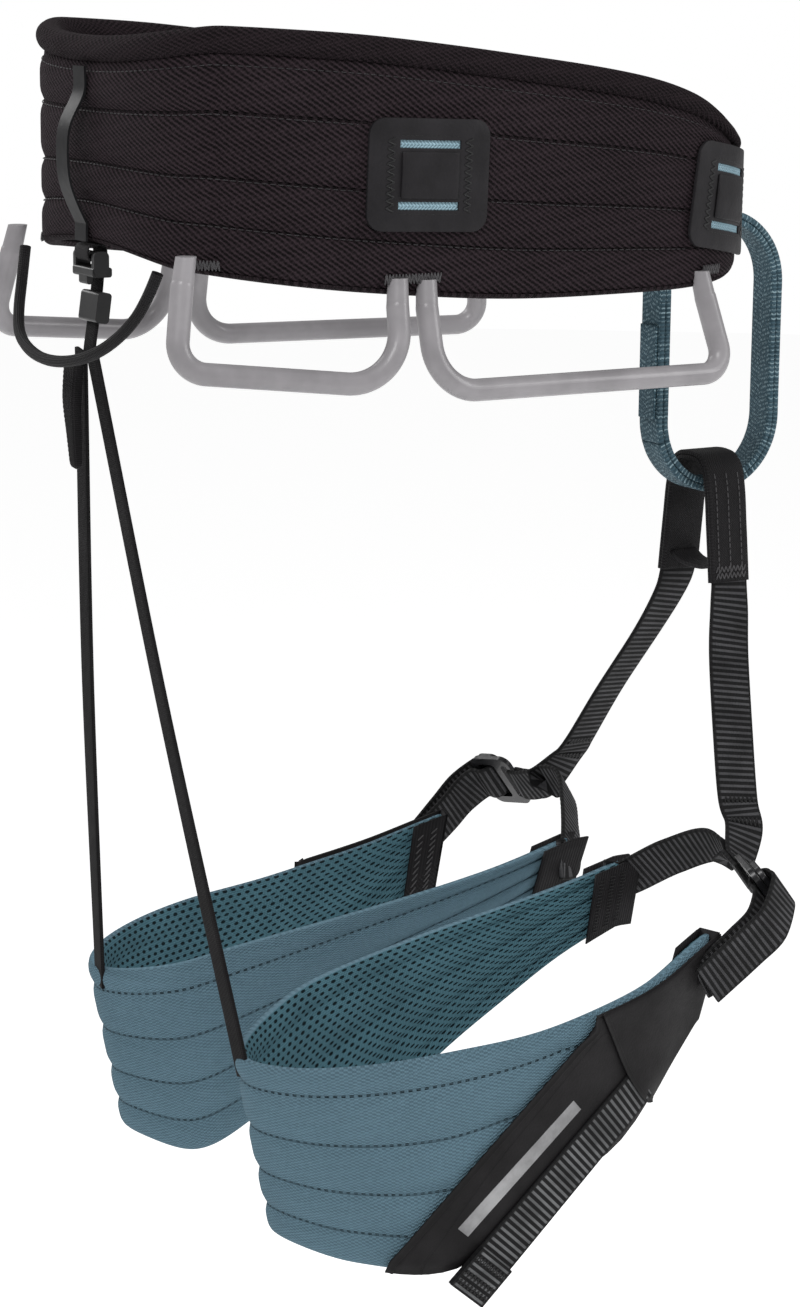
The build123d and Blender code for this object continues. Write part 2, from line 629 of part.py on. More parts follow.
def riser_slider():
    """Ladder-lock slider round the riser's top strap."""
    block = Pos(0, HOOK_Y - 1.6, -61) * Rot(8, 0, 0) * Box(17, 6.4, 13)
    block = fillet(block.edges().filter_by(Axis.X), 1.6)
    return block - Pos(0, HOOK_Y - 1.6, -61) * Rot(8, 0, 0) * Box(11.4, 3.4, 30)


def riser():
    tip = Vector(*RISER_TIP)
    top = Vector(*RISER_TOP)
    middle = (top + tip) * 0.5 + Vector(0, 1.5, 0)
    points = [tuple(top), tuple(middle), tuple(tip)]
    return strap_through(points, [(1, 0, 0), (1, 0, 0), (1, 0.15, 0)], ELASTIC_WIDTH, ELASTIC_THICK)


def riser_tail():
    """Folded spare length of the riser, hanging from the slider behind the straps."""
    rows = [(154.6, -84, 13.5, 5.0), (156.0, -100, 12.0, 5.4), (155.2, -115, 8.5, 5.0), (154.4, -131, 6.5, 4.0)]
    faces = [Pos(0, y, z) * RectangleRounded(w, t, 1.2) for y, z, w, t in rows]
    return loft([f.face() for f in faces])


# ---------------------------------------------------------------- assemble and write
def build():
    nodes = {
        "belt_foam": belt_foam(),
        "belt_shell": belt_shell(),
        "belt_lining": belt_lining(),
        "belt_top_roll": belt_top_roll(),
        "belt_load_web_upper": load_web(4, 17),
        "belt_load_web_lower": load_web(-20, -7),
        "back_strip": back_strip(),
        "riser_anchor": riser_anchor(),
        "front_strap": front_strap(),
        "waist_tie_in_loop": tie_in_loop(),
        "waist_adjust_strap": waist_adjust_strap(),
        "waist_buckle_frame": buckle_frame(WAIST_WEB_WIDTH, waist_buckle_plane()),
        "waist_buckle_plate": buckle_plate(WAIST_WEB_WIDTH, waist_buckle_plane()),
        "tail_keeper": tail_keeper(),
        "belt_bar_tacks": bar_tacks(),
        "haul_loop": haul_loop(),
        "belay_loop": belay_loop(),
        "belay_loop_tack": belay_tack(),
        "leg_tie_in_sleeve": tie_in_sleeve(),
        "leg_cross_strap": cross_strap(),
        "riser_hook": riser_hook(),
        "riser_top_strap": riser_top_strap(),
        "riser_slider": riser_slider(),
        "riser_tail": riser_tail(),
    }
    right = {
        "clip_patch_rear": clip_patch(*REAR_PATCH),
        "clip_patch_front": clip_patch(*FRONT_PATCH),
        "gear_loop_rear": gear_loop(REAR_GEAR_LOOP),
        "gear_loop_front": gear_loop(FRONT_GEAR_LOOP),
        "leg_strap": leg_strap(),
        "leg_front_band": front_band(),
        "leg_foam": leg_layer(-1.2, -LEG_PAD_THICK + 1.2),
        "leg_shell": leg_layer(0, -1.0),
        "leg_lining": leg_layer(-LEG_PAD_THICK + 1.0, -LEG_PAD_THICK),
        "leg_cover": leg_cover(),
        "leg_inner_tab": leg_inner_tab(),
        "leg_adjust_strap": leg_adjust_strap(),
        "leg_strap_tail": leg_strap_tail(),
        "leg_buckle_frame": buckle_frame(LEG_WEB_WIDTH, leg_buckle_plane()),
        "leg_buckle_plate": buckle_plate(LEG_WEB_WIDTH, leg_buckle_plane()),
        "riser_strap": riser(),
    }
    for name, shape in right.items():
        nodes[name + "_right"] = shape
        nodes[name + "_left"] = left_of(shape)
    return nodes


def main():
    os.makedirs("parts", exist_ok=True)
    for name, shape in build().items():
        export_step(Compound(children=list(shape.solids())), "parts/" + name + ".step")


main()
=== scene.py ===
"""Climbing harness: the sewn, padded, moulded and metal pieces, built round the packed frame."""

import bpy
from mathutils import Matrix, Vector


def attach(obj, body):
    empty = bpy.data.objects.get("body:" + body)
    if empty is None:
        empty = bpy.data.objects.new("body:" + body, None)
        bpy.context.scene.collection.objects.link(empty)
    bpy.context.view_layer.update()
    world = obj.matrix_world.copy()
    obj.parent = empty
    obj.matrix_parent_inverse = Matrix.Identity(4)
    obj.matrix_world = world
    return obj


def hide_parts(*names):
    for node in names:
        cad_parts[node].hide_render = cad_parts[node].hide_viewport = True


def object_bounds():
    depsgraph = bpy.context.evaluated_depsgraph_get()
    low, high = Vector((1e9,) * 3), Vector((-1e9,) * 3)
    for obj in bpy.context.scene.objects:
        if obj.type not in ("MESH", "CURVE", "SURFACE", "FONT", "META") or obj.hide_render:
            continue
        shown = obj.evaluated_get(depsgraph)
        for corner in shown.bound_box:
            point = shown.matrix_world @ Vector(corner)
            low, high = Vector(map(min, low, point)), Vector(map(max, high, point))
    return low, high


bl_info = {
    "name": "Climbing harness",
    "version": (1, 0, 0),
    "blender": (4, 5, 0),
    "location": "View3D > Sidebar > Harness",
    "description": "Builds the padded, sewn, moulded and metal pieces of a climbing harness",
    "category": "Add Mesh",
}

import math

import bmesh
import bpy
import numpy as np
from mathutils import Matrix, Vector

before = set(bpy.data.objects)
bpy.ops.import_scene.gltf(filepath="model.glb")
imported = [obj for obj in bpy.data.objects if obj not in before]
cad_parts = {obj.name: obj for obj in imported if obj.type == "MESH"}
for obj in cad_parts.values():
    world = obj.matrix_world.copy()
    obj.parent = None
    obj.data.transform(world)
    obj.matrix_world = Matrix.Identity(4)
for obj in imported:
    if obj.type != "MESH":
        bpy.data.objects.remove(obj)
CAD_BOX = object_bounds()
MM = 0.001
SIDES = (("right", 1.0), ("left", -1.0))

# ------------------------------------------------------------------ sewing plan, in millimetres
BELT_HALF_WIDTH = 104.0
BELT_HALF_DEPTH = 150.0
BELT_SQUARENESS = 3.5
BELT_RIM = [
    (160, 59.0, -37.5, 48.0), (110, 57.0, -44.5, 46.0), (65, 54.0, -49.5, 43.0), (0, 46.5, -54.5, 35.5),
    (-65, 37.0, -55.0, 26.5), (-100, 27.5, -54.5, 18.5), (-125, 14.0, -52.5, 8.0), (-142, 4.0, -48.0, 0.0),
    (-160, -4.0, -42.0, -7.0),
]
PAD_END_RIGHT_X = -42.0
PAD_END_LEFT_X = 66.0
BELT_SEAMS = (0.225, 0.44, 0.73)
BELT_TALL = 90.0
LEG_MIDDLE = (-78.0, 20.0)
LEG_PLAN = [
    (-23, -105), (-21, -56), (-22, 0), (-29, 60), (-45, 98), (-72, 118), (-103, 104), (-126, 66),
    (-136, 10), (-132, -50), (-118, -94),
]
LEG_REF_Z = -375.0
LEG_TAPER = 0.0021
INNER_EDGES = [
    (122, -379, -462), (90, -373, -470), (60, -365, -458), (0, -355, -419), (-50, -347, -391),
    (-80, -341, -374), (-116, -331, -358),
]
OUTER_EDGES = [
    (122, -379, -462), (90, -376, -470), (40, -371, -474), (0, -368, -457), (-30, -363, -441),
    (-60, -356, -426), (-85, -346, -395), (-101, -339, -371),
]
LEG_SEAMS = (0.17, 0.37, 0.61, 0.86)
LEG_TALL = 95.0
LEG_WEB = 20.0
WAIST_WEB = 25.0
RIB_PITCH = 2.9
LINING_THREAD = -10.7
REAR_PATCH = (157.5, -2.0, -2.0)
FRONT_PATCH = (233.5, -17.5, -9.0)
SLOT_PITCH = 25.0
LEG_BUCKLE_AT = Vector((-110.5, -131.5, -328.0))
LEG_BUCKLE_RUN = Vector((0.86, -0.36, 0.22))
LEG_BUCKLE_FACE = Vector((-0.30, -0.76, 0.58))
WAIST_BUCKLE_X = 45.0
WAIST_WEB_Z = -22.0
HAIRPIN_CENTRE = (-8.0, 2.9)
HAIRPIN_RADIUS = 5.2
BELAY_Y = -176.0
BELAY_Z = -97.0
BELAY_RADIUS = 32.0
BELAY_HALF_STRAIGHT = 31.75
TIE_IN_BAR_TOP = -38.4
HAUL_ROUTE = [
    (66, 147.5, -41), (62, 151, -54), (53, 157, -67), (38, 163.5, -77), (13, 167, -82.5),
    (-13, 167, -82.5), (-38, 163.5, -77), (-53, 157, -67), (-62, 151, -54), (-66, 147.5, -41),
]


# ------------------------------------------------------------------ curves
def eased(rows, column, at):
    """Value of one column at a position along rows of falling position, on a smooth curve."""
    table = rows[::-1]
    xs = [row[0] for row in table]
    ys = [row[column] for row in table]
    at = min(max(at, xs[0]), xs[-1])
    i = min(max(int(np.searchsorted(xs, at)) - 1, 0), len(xs) - 2)
    step = xs[i + 1] - xs[i]
    t = (at - xs[i]) / step
    slopes = []
    for k in (i, i + 1):
        low, high = max(k - 1, 0), min(k + 1, len(xs) - 1)
        slopes.append((ys[high] - ys[low]) / (xs[high] - xs[low]) * step)
    t2, t3 = t * t, t * t * t
    return ((2 * t3 - 3 * t2 + 1) * ys[i] + (t3 - 2 * t2 + t) * slopes[0]
            + (3 * t2 - 2 * t3) * ys[i + 1] + (t3 - t2) * slopes[1])


def smooth_line(points, steps=10):
    """Points on a smooth line through the given ones."""
    control = np.array(points, float)
    ends = np.vstack([2 * control[0] - control[1], control, 2 * control[-1] - control[-2]])
    t = np.linspace(0, 1, steps, endpoint=False)[:, None]
    spans = []
    for i in range(1, len(ends) - 2):
        a, b, c, d = ends[i - 1:i + 3]
        spans.append(0.5 * (2 * b + (c - a) * t + (2 * a - 5 * b + 4 * c - d) * t ** 2
                            + (3 * b - a - 3 * c + d) * t ** 3))
    return np.vstack(spans + [control[-1:]])


def lengths_along(points):
    return np.concatenate([[0], np.cumsum(np.linalg.norm(np.diff(points, axis=0), axis=1))])


def unit_rows(rows):
    return rows / np.maximum(np.linalg.norm(rows, axis=1), 1e-9)[:, None]


class Route:
    """A line for a strap: at every point it has a run, a width direction and a face direction."""

    def __init__(self, points, across, steps=10, mirrored=False):
        line = smooth_line(points, steps)
        wide = smooth_line(across, steps)
        if mirrored:
            line = line * (-1, 1, 1)
            wide = wide * (-1, 1, 1)
        run = unit_rows(np.gradient(line, axis=0))
        wide = unit_rows(wide - run * np.sum(wide * run, axis=1)[:, None])
        face = np.cross(run, wide)
        self.rows = np.hstack([line, wide, -face if mirrored else face])
        self.at = lengths_along(line)
        self.length = float(self.at[-1])

    def place(self, u, v, w):
        """Position u along the strap, v across it and w above its middle."""
        u_in = min(max(u, 0.0), self.length)
        row = np.array([np.interp(u_in, self.at, self.rows[:, k]) for k in range(9)])
        point = Vector(row[0:3]) + Vector(row[3:6]) * v + Vector(row[6:9]) * w
        if u != u_in:
            point += Vector(np.cross(row[3:6], row[6:9])) * (u - u_in)
        return point


# ------------------------------------------------------------------ the belt as a surface
def belt_plan_tables():
    """Arc length from the middle of the back, plan position and outward normal, by polar angle."""
    angles = np.radians(np.arange(-95.0, 275.01, 0.5))
    c, s = np.cos(angles), np.sin(angles)
    n = BELT_SQUARENESS
    radius = (np.abs(c / BELT_HALF_WIDTH) ** n + np.abs(s / BELT_HALF_DEPTH) ** n) ** (-1 / n)
    xy = np.stack([radius * c, radius * s], axis=1)
    gx = np.abs(xy[:, 0] / BELT_HALF_WIDTH) ** (n - 1) / BELT_HALF_WIDTH * np.sign(xy[:, 0])
    gy = np.abs(xy[:, 1] / BELT_HALF_DEPTH) ** (n - 1) / BELT_HALF_DEPTH * np.sign(xy[:, 1])
    along = lengths_along(xy)
    along = along - np.interp(math.radians(90), angles, along)
    return angles, along, xy, unit_rows(np.stack([gx, gy], axis=1))


BELT_ANGLES, BELT_ALONG, BELT_XY, BELT_NORMALS = belt_plan_tables()


def belt_at(s, z, out=0.0):
    """Point on the belt: s along it from the middle of the back (right-hand side positive), height z."""
    x, y, nx, ny = (float(np.interp(s, BELT_ALONG, column)) for column in
                    (BELT_XY[:, 0], BELT_XY[:, 1], BELT_NORMALS[:, 0], BELT_NORMALS[:, 1]))
    return Vector((x + nx * out, y + ny * out, z))


def belt_s(angle):
    return float(np.interp(math.radians(angle), BELT_ANGLES, BELT_ALONG))


def belt_edges(s):
    """Heights of the belt's bottom edge, its roll's lower side and its top edge at s."""
    point = belt_at(s, 0)
    bottom = eased(BELT_RIM, 2, point.y)
    roll = eased(BELT_RIM, 3, point.y)
    top = eased(BELT_RIM, 1, point.y)
    if point.y > 100:
        dip = 52.1 + 9.1 * (point.x / 100) ** 2
        top = min(top, dip)
        roll = min(roll, dip - 11)
        if abs(point.x) < 75:
            bottom = max(bottom, -33.4 - 6.2 * (point.x / 62) ** 2)
    return bottom, roll, top


def belt_end(x_end, right):
    """Arc length where the belt's padded front end is cut."""
    front = BELT_XY[:, 1] < -100
    half = BELT_ANGLES > math.radians(180) if right else BELT_ANGLES < 0
    keep = front & half
    xs, along = BELT_XY[keep, 0], BELT_ALONG[keep]
    order = np.argsort(xs)
    return float(np.interp(x_end, xs[order], along[order]))


BELT_RIGHT = belt_end(PAD_END_RIGHT_X, True)
BELT_LEFT = belt_end(PAD_END_LEFT_X, False)


# ------------------------------------------------------------------ a leg pad as a surface
LEG_LINE = smooth_line([(x, y, 0) for x, y in LEG_PLAN], 24)[:, :2]
LEG_ALONG = lengths_along(LEG_LINE)
LEG_RUN = unit_rows(np.gradient(LEG_LINE, axis=0))
LEG_LENGTH = float(LEG_ALONG[-1])
LEG_BACK = float(LEG_ALONG[int(np.argmax(LEG_LINE[:, 1]))])


def leg_at(u, z, out=0.0):
    """Point on the right leg pad's outer face: u along its plan from the inner front end, height z."""
    u_in = min(max(u, 0.0), LEG_LENGTH)
    x, y, rx, ry = (float(np.interp(u_in, LEG_ALONG, column)) for column in
                    (LEG_LINE[:, 0], LEG_LINE[:, 1], LEG_RUN[:, 0], LEG_RUN[:, 1]))
    scale = 1 + (z - LEG_REF_Z) * LEG_TAPER
    x = LEG_MIDDLE[0] + (x - LEG_MIDDLE[0]) * scale
    y = LEG_MIDDLE[1] + (y - LEG_MIDDLE[1]) * scale
    beyond = u - u_in
    return Vector((x + ry * out + rx * beyond, y - rx * out + ry * beyond, z))


def leg_edges(u):
    """Heights of the pad's bottom and top edges at u."""
    y = float(np.interp(u, LEG_ALONG, LEG_LINE[:, 1]))
    rows = INNER_EDGES if u < LEG_BACK else OUTER_EDGES
    return eased(rows, 2, y), eased(rows, 1, y)


def leg_u_outside(y):
    """Arc length on the outer side of the pad where its plan has this y at the reference height."""
    outer = LEG_ALONG >= LEG_BACK
    ys = LEG_LINE[outer, 1][::-1]
    along = LEG_ALONG[outer][::-1]
    return float(np.interp(y, ys, along))


# ------------------------------------------------------------------ pattern pieces (bmesh)
def mark_pattern(bm, along=1.0, across=1.0):
    """Write each flat vertex's x and y as pattern coordinates, scaled to millimetres."""
    layer = bm.loops.layers.uv.get("pattern") or bm.loops.layers.uv.new("pattern")
    for face in bm.faces:
        for loop in face.loops:
            loop[layer].uv = (loop.vert.co.x * along, loop.vert.co.y * across)


def wrap(bm, place):
    """Move every vertex of a flat pattern piece to its place on the harness."""
    for vert in bm.verts:
        vert.co = place(vert.co.x, vert.co.y, vert.co.z)


def lay(bm, place):
    """Wrap a pattern piece and turn its faces outward."""
    wrap(bm, place)
    bmesh.ops.recalc_face_normals(bm, faces=bm.faces)


def mirror_x(bm):
    bmesh.ops.scale(bm, vec=(-1, 1, 1), verts=bm.verts)
    bmesh.ops.reverse_faces(bm, faces=bm.faces)


def bevel(bm, edges, offset, segments=2):
    bmesh.ops.bevel(bm, geom=edges, offset=offset, offset_type="OFFSET", segments=segments, profile=0.5,
                    affect="EDGES", material=-1, clamp_overlap=True)


def slab(columns, rows, top, bottom):
    """Flat closed panel with its columns and rows at the given places; the second material is underneath."""
    bm = bmesh.new()
    bmesh.ops.create_grid(bm, x_segments=len(columns) - 1, y_segments=len(rows) - 1, size=0.5)
    for vert in bm.verts:
        vert.co.x = columns[round((vert.co.x + 0.5) * (len(columns) - 1))]
        vert.co.y = rows[round((vert.co.y + 0.5) * (len(rows) - 1))]
        vert.co.z = top
    upper = list(bm.faces)
    grown = bmesh.ops.extrude_face_region(bm, geom=upper, use_keep_orig=True)
    lower_verts = [g for g in grown["geom"] if isinstance(g, bmesh.types.BMVert)]
    bmesh.ops.translate(bm, vec=(0, 0, bottom - top), verts=lower_verts)
    for face in grown["geom"]:
        if isinstance(face, bmesh.types.BMFace):
            face.material_index = 1
    bmesh.ops.recalc_face_normals(bm, faces=bm.faces)
    return bm


def band(length, width, thick, ring=2.0, across=3, round_edge=None):
    """Flat straight strap from 0 to its length, with rounded selvedges, ready to be laid on a route."""
    bm = bmesh.new()
    bmesh.ops.create_cube(bm, size=1.0)
    bmesh.ops.scale(bm, vec=(length, width, thick), verts=bm.verts)
    bmesh.ops.translate(bm, vec=(length / 2, 0, 0), verts=bm.verts)
    long_edges = [e for e in bm.edges if abs(e.verts[0].co.x - e.verts[1].co.x) > 0.5 * length]
    bevel(bm, long_edges, round_edge or thick * 0.36, 2)
    wide = [e for e in bm.edges if abs(e.verts[0].co.y - e.verts[1].co.y) > 0.4 * width]
    bmesh.ops.subdivide_edges(bm, edges=wide, cuts=across, use_grid_fill=True)
    long_edges = [e for e in bm.edges if abs(e.verts[0].co.x - e.verts[1].co.x) > 0.5 * length]
    bmesh.ops.subdivide_edges(bm, edges=long_edges, cuts=max(2, round(length / ring)), use_grid_fill=True)
    return bm


def ribbed(bm, pitch, depth, width):
    """Cross ribs on a flat strap's two faces."""
    for vert in bm.verts:
        inside = max(0.0, 1 - abs(vert.co.y) / (width / 2 - 0.4)) ** 0.25
        wave = math.cos(2 * math.pi * vert.co.x / pitch)
        vert.co.z *= 1 + depth * inside * wave


STITCH = {}


def stitch_shape():
    """One thread stitch, a unit long, as a mesh that is copied into place."""
    if "mesh" not in STITCH:
        bm = bmesh.new()
        bmesh.ops.create_cube(bm, size=1.0)
        bevel(bm, list(bm.edges), 0.22, 1)
        mark_pattern(bm)
        mesh = bpy.data.meshes.new("stitch_shape")
        bm.to_mesh(mesh)
        bm.free()
        STITCH["mesh"] = mesh
    return STITCH["mesh"]


def sew(bm, start, end, normal, thread=0.55):
    """Add one stitch between two points of a surface."""
    run = end - start
    if run.length < 1e-6:
        return
    x = run.normalized()
    z = (normal - x * normal.dot(x)).normalized()
    y = z.cross(x)
    turn = Matrix((x, y, z)).transposed().to_4x4()
    size = Matrix.Diagonal((run.length, thread, thread * 0.7, 1))
    old = len(bm.verts)
    bm.from_mesh(stitch_shape())
    bm.verts.ensure_lookup_table()
    bmesh.ops.transform(bm, matrix=Matrix.Translation((start + end) / 2) @ turn @ size, verts=bm.verts[old:])


def sew_pattern(bm, place, strokes, lift=0.05, thread=0.55):
    """Stitches given as (u, v, u, v) strokes on a placed surface."""
    for u0, v0, u1, v1 in strokes:
        a, b = place(u0, v0, lift), place(u1, v1, lift)
        above = place((u0 + u1) / 2, (v0 + v1) / 2, lift + 1.0) - (a + b) / 2
        sew(bm, a, b, above, thread)


def zigzag(u0, v0, u1, v1, width, pitch):
    """Strokes of a zigzag along the line from one point to another."""
    run = Vector((u1 - u0, v1 - v0))
    count = max(2, round(run.length / pitch))
    side = Vector((-run.y, run.x)).normalized() * (width / 2)
    corners = []
    for i in range(count + 1):
        middle = Vector((u0, v0)) + run * (i / count)
        corners.append(middle + side * (1 if i % 2 else -1))
    return [(*a, *b) for a, b in zip(corners, corners[1:])]


def running(u0, v0, u1, v1, stitch=2.4, gap=0.8):
    """Strokes of a straight line of stitches."""
    run = Vector((u1 - u0, v1 - v0))
    count = max(1, int(run.length / (stitch + gap)))
    step = run / count
    share = stitch / (stitch + gap)
    strokes = []
    for i in range(count):
        a = Vector((u0, v0)) + step * i
        strokes.append((*a, *(a + step * share)))
    return strokes


def finished(bm, name, body, slot, materials, replaces=(), smooth=True, mirrored=False, sharp=None):
    """Turn a bmesh in millimetres into a piece of the harness that rides on a body."""
    if mirrored:
        mirror_x(bm)
    bmesh.ops.scale(bm, vec=(MM, MM, MM), verts=bm.verts)
    mesh = bpy.data.meshes.new(name)
    for face in bm.faces:
        face.smooth = smooth
    bm.to_mesh(mesh)
    bm.free()
    piece = bpy.data.objects.new(name, mesh)
    bpy.context.scene.collection.objects.link(piece)
    for material in materials:
        mesh.materials.append(material)
    if sharp:
        mesh.set_sharp_from_angle(angle=math.radians(sharp))
    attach(piece, body)
    if replaces:
        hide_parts(*replaces)
    return piece


# ------------------------------------------------------------------ finishes (shader nodes)
class Field:
    """One shader socket with arithmetic: every operator adds a Math node."""

    def __init__(self, finish, socket):
        self.finish = finish
        self.socket = socket

    def math(self, operation, *others):
        return self.finish.node("ShaderNodeMath", {"operation": operation}, dict(enumerate((self, *others))))

    def __add__(self, other):
        return self.math("ADD", other)

    __radd__ = __add__

    def __mul__(self, other):
        return self.math("MULTIPLY", other)

    __rmul__ = __mul__

    def __sub__(self, other):
        return self.math("SUBTRACT", other)

    def __rsub__(self, other):
        return self.finish.node("ShaderNodeMath", {"operation": "SUBTRACT"}, {0: other, 1: self})

    def __truediv__(self, other):
        return self.math("DIVIDE", other)

    def __pow__(self, other):
        return self.math("POWER", other)

    def sine(self):
        return self.math("SINE")

    def size(self):
        return self.math("ABSOLUTE")

    def fraction(self):
        return self.math("FRACT")

    def floor(self):
        return self.math("FLOOR")

    def over(self, other):
        return self.math("GREATER_THAN", other)

    def most(self, other):
        return self.math("MAXIMUM", other)

    def ease(self, low, high):
        """0 below low, 1 above high, smooth between."""
        return self.finish.node("ShaderNodeMapRange", {"interpolation_type": "SMOOTHSTEP"},
                                {"Value": self, "From Min": low, "From Max": high})


class Finish:
    """A procedural material under construction."""

    def __init__(self, name, colour, roughness, metallic=0.0, coat=0.0, specular=0.5):
        self.material = bpy.data.materials.new(name)
        self.material.use_nodes = True
        self.tree = self.material.node_tree
        self.tree.nodes.clear()
        output = self.tree.nodes.new("ShaderNodeOutputMaterial")
        self.shader = self.tree.nodes.new("ShaderNodeBsdfPrincipled")
        self.tree.links.new(self.shader.outputs[0], output.inputs[0])
        self.colour = (*colour, 1.0)
        self.shader.inputs["Base Color"].default_value = self.colour
        self.shader.inputs["Roughness"].default_value = roughness
        self.shader.inputs["Metallic"].default_value = metallic
        self.shader.inputs["Coat Weight"].default_value = coat
        self.shader.inputs["Specular IOR Level"].default_value = specular

    def node(self, kind, settings=None, inputs=None, output=0):
        """Any node: its settings first, then the values or links of its sockets."""
        made = self.tree.nodes.new(kind)
        for key, value in (settings or {}).items():
            setattr(made, key, value)
        for key, value in (inputs or {}).items():
            socket = made.inputs[key]
            if isinstance(value, Field):
                self.tree.links.new(value.socket, socket)
            else:
                socket.default_value = value
        return Field(self, made.outputs[output])

    def link(self, field, socket):
        self.tree.links.new(field.socket, self.shader.inputs[socket])

    def pattern(self):
        """The piece's own pattern coordinates u and v, in millimetres."""
        uv = self.node("ShaderNodeUVMap", {"uv_map": "pattern"})
        split = self.tree.nodes.new("ShaderNodeSeparateXYZ")
        self.tree.links.new(uv.socket, split.inputs[0])
        return Field(self, split.outputs[0]), Field(self, split.outputs[1])

    def space(self):
        return self.node("ShaderNodeTexCoord", output=3)

    def noise(self, scale, detail=3.0, rough=0.5, vector=None):
        """Noise over the object's own metres; scale is in cells a metre."""
        return self.node("ShaderNodeTexNoise", None,
                         {"Vector": vector or self.space(), "Scale": scale, "Detail": detail,
                          "Roughness": rough})

    def stretched(self, u, v, along, across):
        """Pattern coordinates stretched into a vector for noise."""
        return self.node("ShaderNodeCombineXYZ", None, {0: u * along, 1: v * across})

    def mix(self, factor, first, second):
        """Colour mix; first and second are colours or fields."""
        made = self.tree.nodes.new("ShaderNodeMix")
        made.data_type = "RGBA"
        for index, value in ((0, factor), (6, first), (7, second)):
            if isinstance(value, Field):
                self.tree.links.new(value.socket, made.inputs[index])
            else:
                made.inputs[index].default_value = value if index == 0 else (*value[:3], 1.0)
        return Field(self, made.outputs[2])

    def bump(self, height, strength=0.5, distance=0.0004, under=None):
        inputs = {"Height": height, "Strength": strength, "Distance": distance}
        if under is not None:
            inputs["Normal"] = under
        return self.node("ShaderNodeBump", None, inputs)

    def tinted(self, amount, factor):
        """The base colour made darker or lighter by a factor field from 0 to 1."""
        dark = [c * (1 - amount) for c in self.colour[:3]]
        light = [min(1.0, c * (1 + amount)) for c in self.colour[:3]]
        return self.mix(factor, dark, light)


FINISHES = {}


def twill(name, colour, pitch, contrast, relief, diagonal, seams=(), shade=0.5, line=0.7):
    """Woven face fabric: raised diagonal floats over a plain ground, with dark drawn-in seam lines."""
    f = Finish(name, colour, 0.9, specular=0.1)
    u, v = f.pattern()
    k = 2 * math.pi / pitch
    floats = (u * k).sine() * (v * k * 1.25 + (u / pitch).floor() * math.pi).sine()
    lean = ((u * 0.62 + v) * k * 0.9).sine()
    weave = floats * (1 - diagonal) + lean * diagonal
    cloudy = f.noise(24.0, 4.0, 0.6)
    yarn = f.noise(1.0, 2.0, 0.5, f.stretched(u, v, 0.6, 0.2))
    tone = (weave * 0.42 + cloudy * 0.3 + yarn * 0.3 + 0.2).ease(0.1, 0.9)
    base = f.tinted(contrast, tone)
    groove = None
    for seam in seams:
        near = 1 - (v - seam).size().ease(0.1, line)
        groove = near if groove is None else groove.most(near)
    # Painted shade: along the seams the colour is mixed towards a fifth of the fabric's colour, in place of the
    # shade that falls in the grooves.
    if groove is not None:
        base = f.mix(groove * shade, base, [c * 0.22 for c in colour])
    f.link(base, "Base Color")
    creases = f.bump(f.noise(55.0, 3.0, 0.55), 0.3, 0.0014)
    if groove is not None:
        creases = f.bump(1 - groove, 0.9, 0.0012, creases)
    f.link(f.bump(weave, relief, 0.0006, creases), "Normal")
    return f.material


def spacer_mesh(name, colour, pitch_u=5.0, pitch_v=2.8, hole=0.8):
    """Soft knitted lining with staggered oval holes."""
    f = Finish(name, colour, 0.9, specular=0.1)
    u, v = f.pattern()
    row = (v / pitch_v).floor()
    shift = (row * 0.5).fraction()
    a = ((u / pitch_u + shift).fraction() - 0.5) * pitch_u
    b = ((v / pitch_v).fraction() - 0.5) * pitch_v
    away = ((a / (pitch_u * 0.26)) ** 2.0 + (b / (pitch_v * 0.24)) ** 2.0) ** 0.5
    open_ = 1 - away.ease(hole, hole + 0.45)
    knit = ((u * 2 * math.pi / 0.9).sine() + (v * 2 * math.pi / 0.9).sine()) * 0.25
    cloudy = f.noise(45.0, 3.0)
    cloth = f.tinted(0.35, (cloudy * 0.5 + knit * 0.6 + 0.25).ease(0.1, 0.9))
    # Painted shade: the holes are filled with a tenth of the cloth's colour.
    f.link(f.mix(open_, cloth, [c * 0.1 for c in colour]), "Base Color")
    f.link(f.bump(knit * 0.35 - open_, 0.8, 0.0009), "Normal")
    return f.material


def webbing_finish(name, colour, width=20.0, light=(0.03, 0.03, 0.032), flecks=0.0, roughness=0.62, pitch=1.6):
    """Woven strap: yarns that cross in a fine herringbone, with plain selvedges."""
    f = Finish(name, colour, roughness, specular=0.2)
    u, v = f.pattern()
    k = 2 * math.pi / pitch
    lean = (v.size() * k * 1.1 + u * k).sine()
    cross = (v * k * 1.35).sine()
    edge = v.size().over(width / 2 - 1.3)
    weave = (lean * 0.65 + cross * 0.35) * (1 - edge) + (u * k * 0.8).sine() * edge * 0.5
    cloudy = f.noise(60.0, 3.0)
    tone = (weave * 0.3 + cloudy * 0.5 + 0.22).ease(0.1, 0.9)
    base = f.tinted(0.4, tone)
    # Painted highlight: the weave's crests, where the noise is high, are mixed towards the paler light colour.
    painted_glint = (weave.ease(0.45, 1.0)) * (cloudy.ease(0.4, 0.65)) * 0.55
    base = f.mix(painted_glint, base, light)
    if flecks:
        spots = f.noise(1.0, 2.0, 0.5, f.stretched(u, v, 0.55, 0.75)).ease(0.42, 0.6)
        dash = ((u * 0.8 + v.size()) * (2 * math.pi / 1.7)).sine() * (v * (2 * math.pi / 1.35)).sine()
        base = f.mix(spots * dash.ease(0.05, 0.5) * flecks, base, (0.24, 0.34, 0.38))
    f.link(base, "Base Color")
    f.link(0.78 - tone * 0.22, "Roughness")
    f.link(f.bump(weave, 0.55, 0.0004), "Normal")
    return f.material


